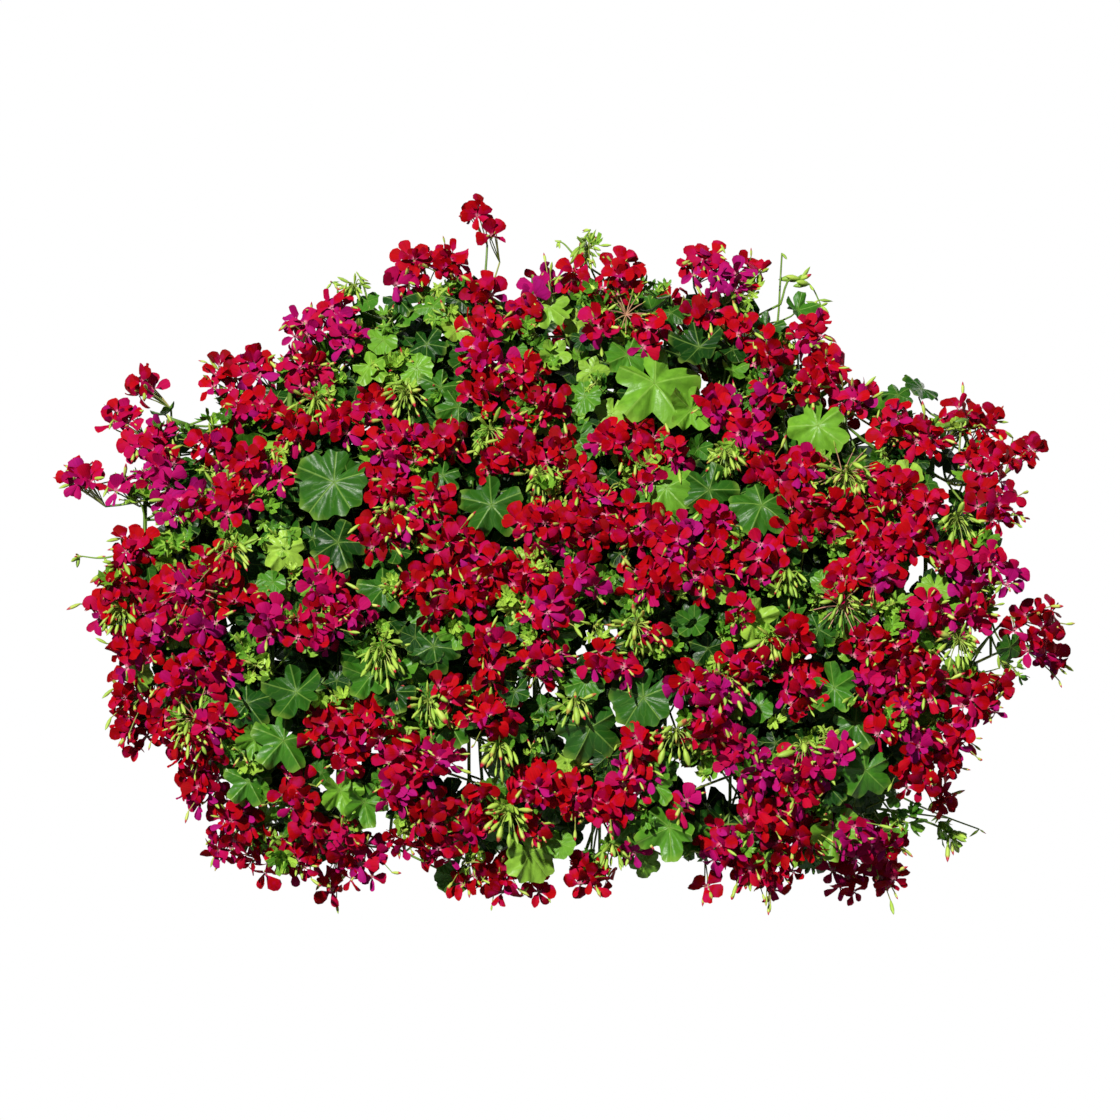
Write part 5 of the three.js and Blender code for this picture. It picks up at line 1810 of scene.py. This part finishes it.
@dataclass
class WindowBox:
    """The trough, its soil, the rail and the brackets."""

    nursery: Nursery
    crumbs: int = 1500
    crumb_size: tuple[float, float, float] = (3, 11, 5)  # least, most and likeliest
    margin: float = 6  # how far the crumbs keep from the soil's edge
    screws: tuple[float, ...] = (-290, -110, 110, 290)
    screw_head: float = 6
    rail_front: float = -4

    def dress(self, node: bpy.types.Object, finish: bpy.types.Material) -> None:
        """Gives one of the model's own solids its finish.

        Args:
            node: the solid.
            finish: its material.
        """
        node.data.materials.clear()
        node.data.materials.append(finish)
        LOG.info("%s: %s", node.name, finish.name)

    def build(self, nodes: dict[str, bpy.types.Object]) -> None:
        """Dresses the hard parts and adds the crumbs of soil and the screws.

        Args:
            nodes: the model's solids by name.
        """
        soil, plastic, steel = SOIL.make(), PLASTIC.make(), STEEL.make()
        self.dress(nodes["trough"], plastic)
        self.dress(nodes["soil"], soil)
        for name in ("wall_rail", "bracket_left", "bracket_right"):
            self.dress(nodes[name], steel)
        draw = random.Random(3)
        low, high = [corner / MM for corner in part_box("soil")]
        growth, kinds = Growth(), self.nursery.shelf.counts[Shape.CRUMB]
        for _ in range(self.crumbs):
            x = draw.uniform(low.x + self.margin, high.x - self.margin)
            y = draw.uniform(low.y + self.margin, high.y - self.margin)
            facing = Vector((draw.uniform(-1, 1), draw.uniform(-1, 1), 1)).normalized()
            along, _ = cross_axes(facing, UP)
            place = Vector((x, y, high.z - draw.uniform(0.5, 4)))
            growth.add(place, facing, along, draw.triangular(*self.crumb_size), draw.randrange(kinds), 0.5)
        self.nursery.grow("soil_crumbs", growth, Shape.CRUMB, soil, "potting_soil")
        heads = Growth()
        for x in self.screws:
            heads.add(Vector((x, self.rail_front, 0)), UP, OUT, self.screw_head, 0, 0.5)
        self.nursery.grow("rail_screws", heads, Shape.SCREW, steel, "holder_steel", variation=0.0)


# ---------------------------------------------------------------- the studio


@dataclass
class Studio:
    """The camera, lights, floor and pale surroundings."""

    distance: float = 6.0
    frame_width: float = 1.12
    centre: tuple[float, float, float] = (-0.007, -0.25, -0.020)
    floor_height: float = -1.1
    floor_radius: float = 5.0
    floor_sides: int = 96
    sun_strength: float = 4.2
    sun_heading: tuple[float, float, float] = (0.37, 0.8, -0.52)
    sun_colour: tuple[float, float, float] = (1.0, 0.975, 0.94)
    fill_strength: float = 1.5
    fill_heading: tuple[float, float, float] = (-0.6, -0.75, -0.3)
    sky_strength: float = 0.11

    def add_camera(self) -> None:
        """Stands the camera level, far away, with a long lens."""
        data = bpy.data.cameras.new("camera")
        data.lens = data.sensor_width * self.distance / self.frame_width
        camera = bpy.data.objects.new("camera", data)
        camera.location = (self.centre[0], self.centre[1] - self.distance, self.centre[2])
        camera.rotation_euler = (math.pi / 2, 0, 0)
        bpy.context.scene.collection.objects.link(camera)
        bpy.context.scene.camera = camera

    def add_lights(self) -> None:
        """Adds the key light, a broad fill from behind, and a dim sky that looks white to the camera."""
        for name, strength, heading, spread in (
            ("key", self.sun_strength, self.sun_heading, 3),
            ("fill", self.fill_strength, self.fill_heading, 60),
        ):
            data = bpy.data.lights.new(name, "SUN")
            data.energy = strength
            data.angle = math.radians(spread)
            data.color = self.sun_colour
            light = bpy.data.objects.new(name, data)
            light.rotation_euler = Vector(heading).to_track_quat("-Z", "Y").to_euler()
            bpy.context.scene.collection.objects.link(light)
        world = bpy.data.worlds.new("studio")
        world.use_nodes = True
        tree = world.node_tree
        tree.nodes.clear()
        dim, white = [
            add_node(tree, "ShaderNodeBackground", {"Color": colour, "Strength": strength})
            for colour, strength in (("EAF2FF", self.sky_strength), ("FFFFFF", 1.0))
        ]
        seen = add_node(tree, "ShaderNodeLightPath").outputs["Is Camera Ray"]
        mixed = add_node(tree, "ShaderNodeMixShader", (seen, dim, white))
        add_node(tree, "ShaderNodeOutputWorld", {"Surface": mixed})
        bpy.context.scene.world = world
        bpy.context.scene.view_settings.view_transform = "Standard"

    def add_floor(self) -> None:
        """Lays the round floor."""
        mesh = bpy.data.meshes.new("floor")
        angles = [k / self.floor_sides * FULL_TURN for k in range(self.floor_sides)]
        spokes = [(self.floor_radius * math.cos(a), self.floor_radius * math.sin(a)) for a in angles]
        mesh.from_pydata([(x, y, self.floor_height) for x, y in spokes], [], [range(self.floor_sides)])
        mesh.materials.append(FLOOR.make())
        floor = bpy.data.objects.new("floor", mesh)
        floor.visible_diffuse = False
        bpy.context.scene.collection.objects.link(floor)
        floor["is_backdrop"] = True


def corners(box: tuple[Vector, Vector]) -> list[list[float]]:
    """A box's two corners as plain lists of numbers."""
    return [[round(float(c), 5) for c in corner] for corner in box]


def main() -> None:
    """Builds the whole scene in order."""
    logging.basicConfig(level=logging.INFO, format="%(name)s: %(message)s")
    studio = Studio()
    studio.add_camera()
    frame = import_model()
    solid_box = corners(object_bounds())
    shelf = ShapeShelf()
    shelf.fill()
    tree = GrowthTree()
    tree.build()
    nursery = Nursery(shelf, tree)
    stems = Stems(nursery)
    stems.lay_out()
    WindowBox(nursery).build(frame["nodes"])
    Flowers(nursery).build(stems)
    stems.build()
    shelf.clear()
    bpy.data.node_groups.remove(tree.tree)
    studio.add_lights()
    studio.add_floor()
    LOG.info("%d grown pieces, %d triangles", nursery.made, nursery.triangles)
    {"cad": solid_box, "visual": corners(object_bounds())}


if __name__ == "__main__":
    main()
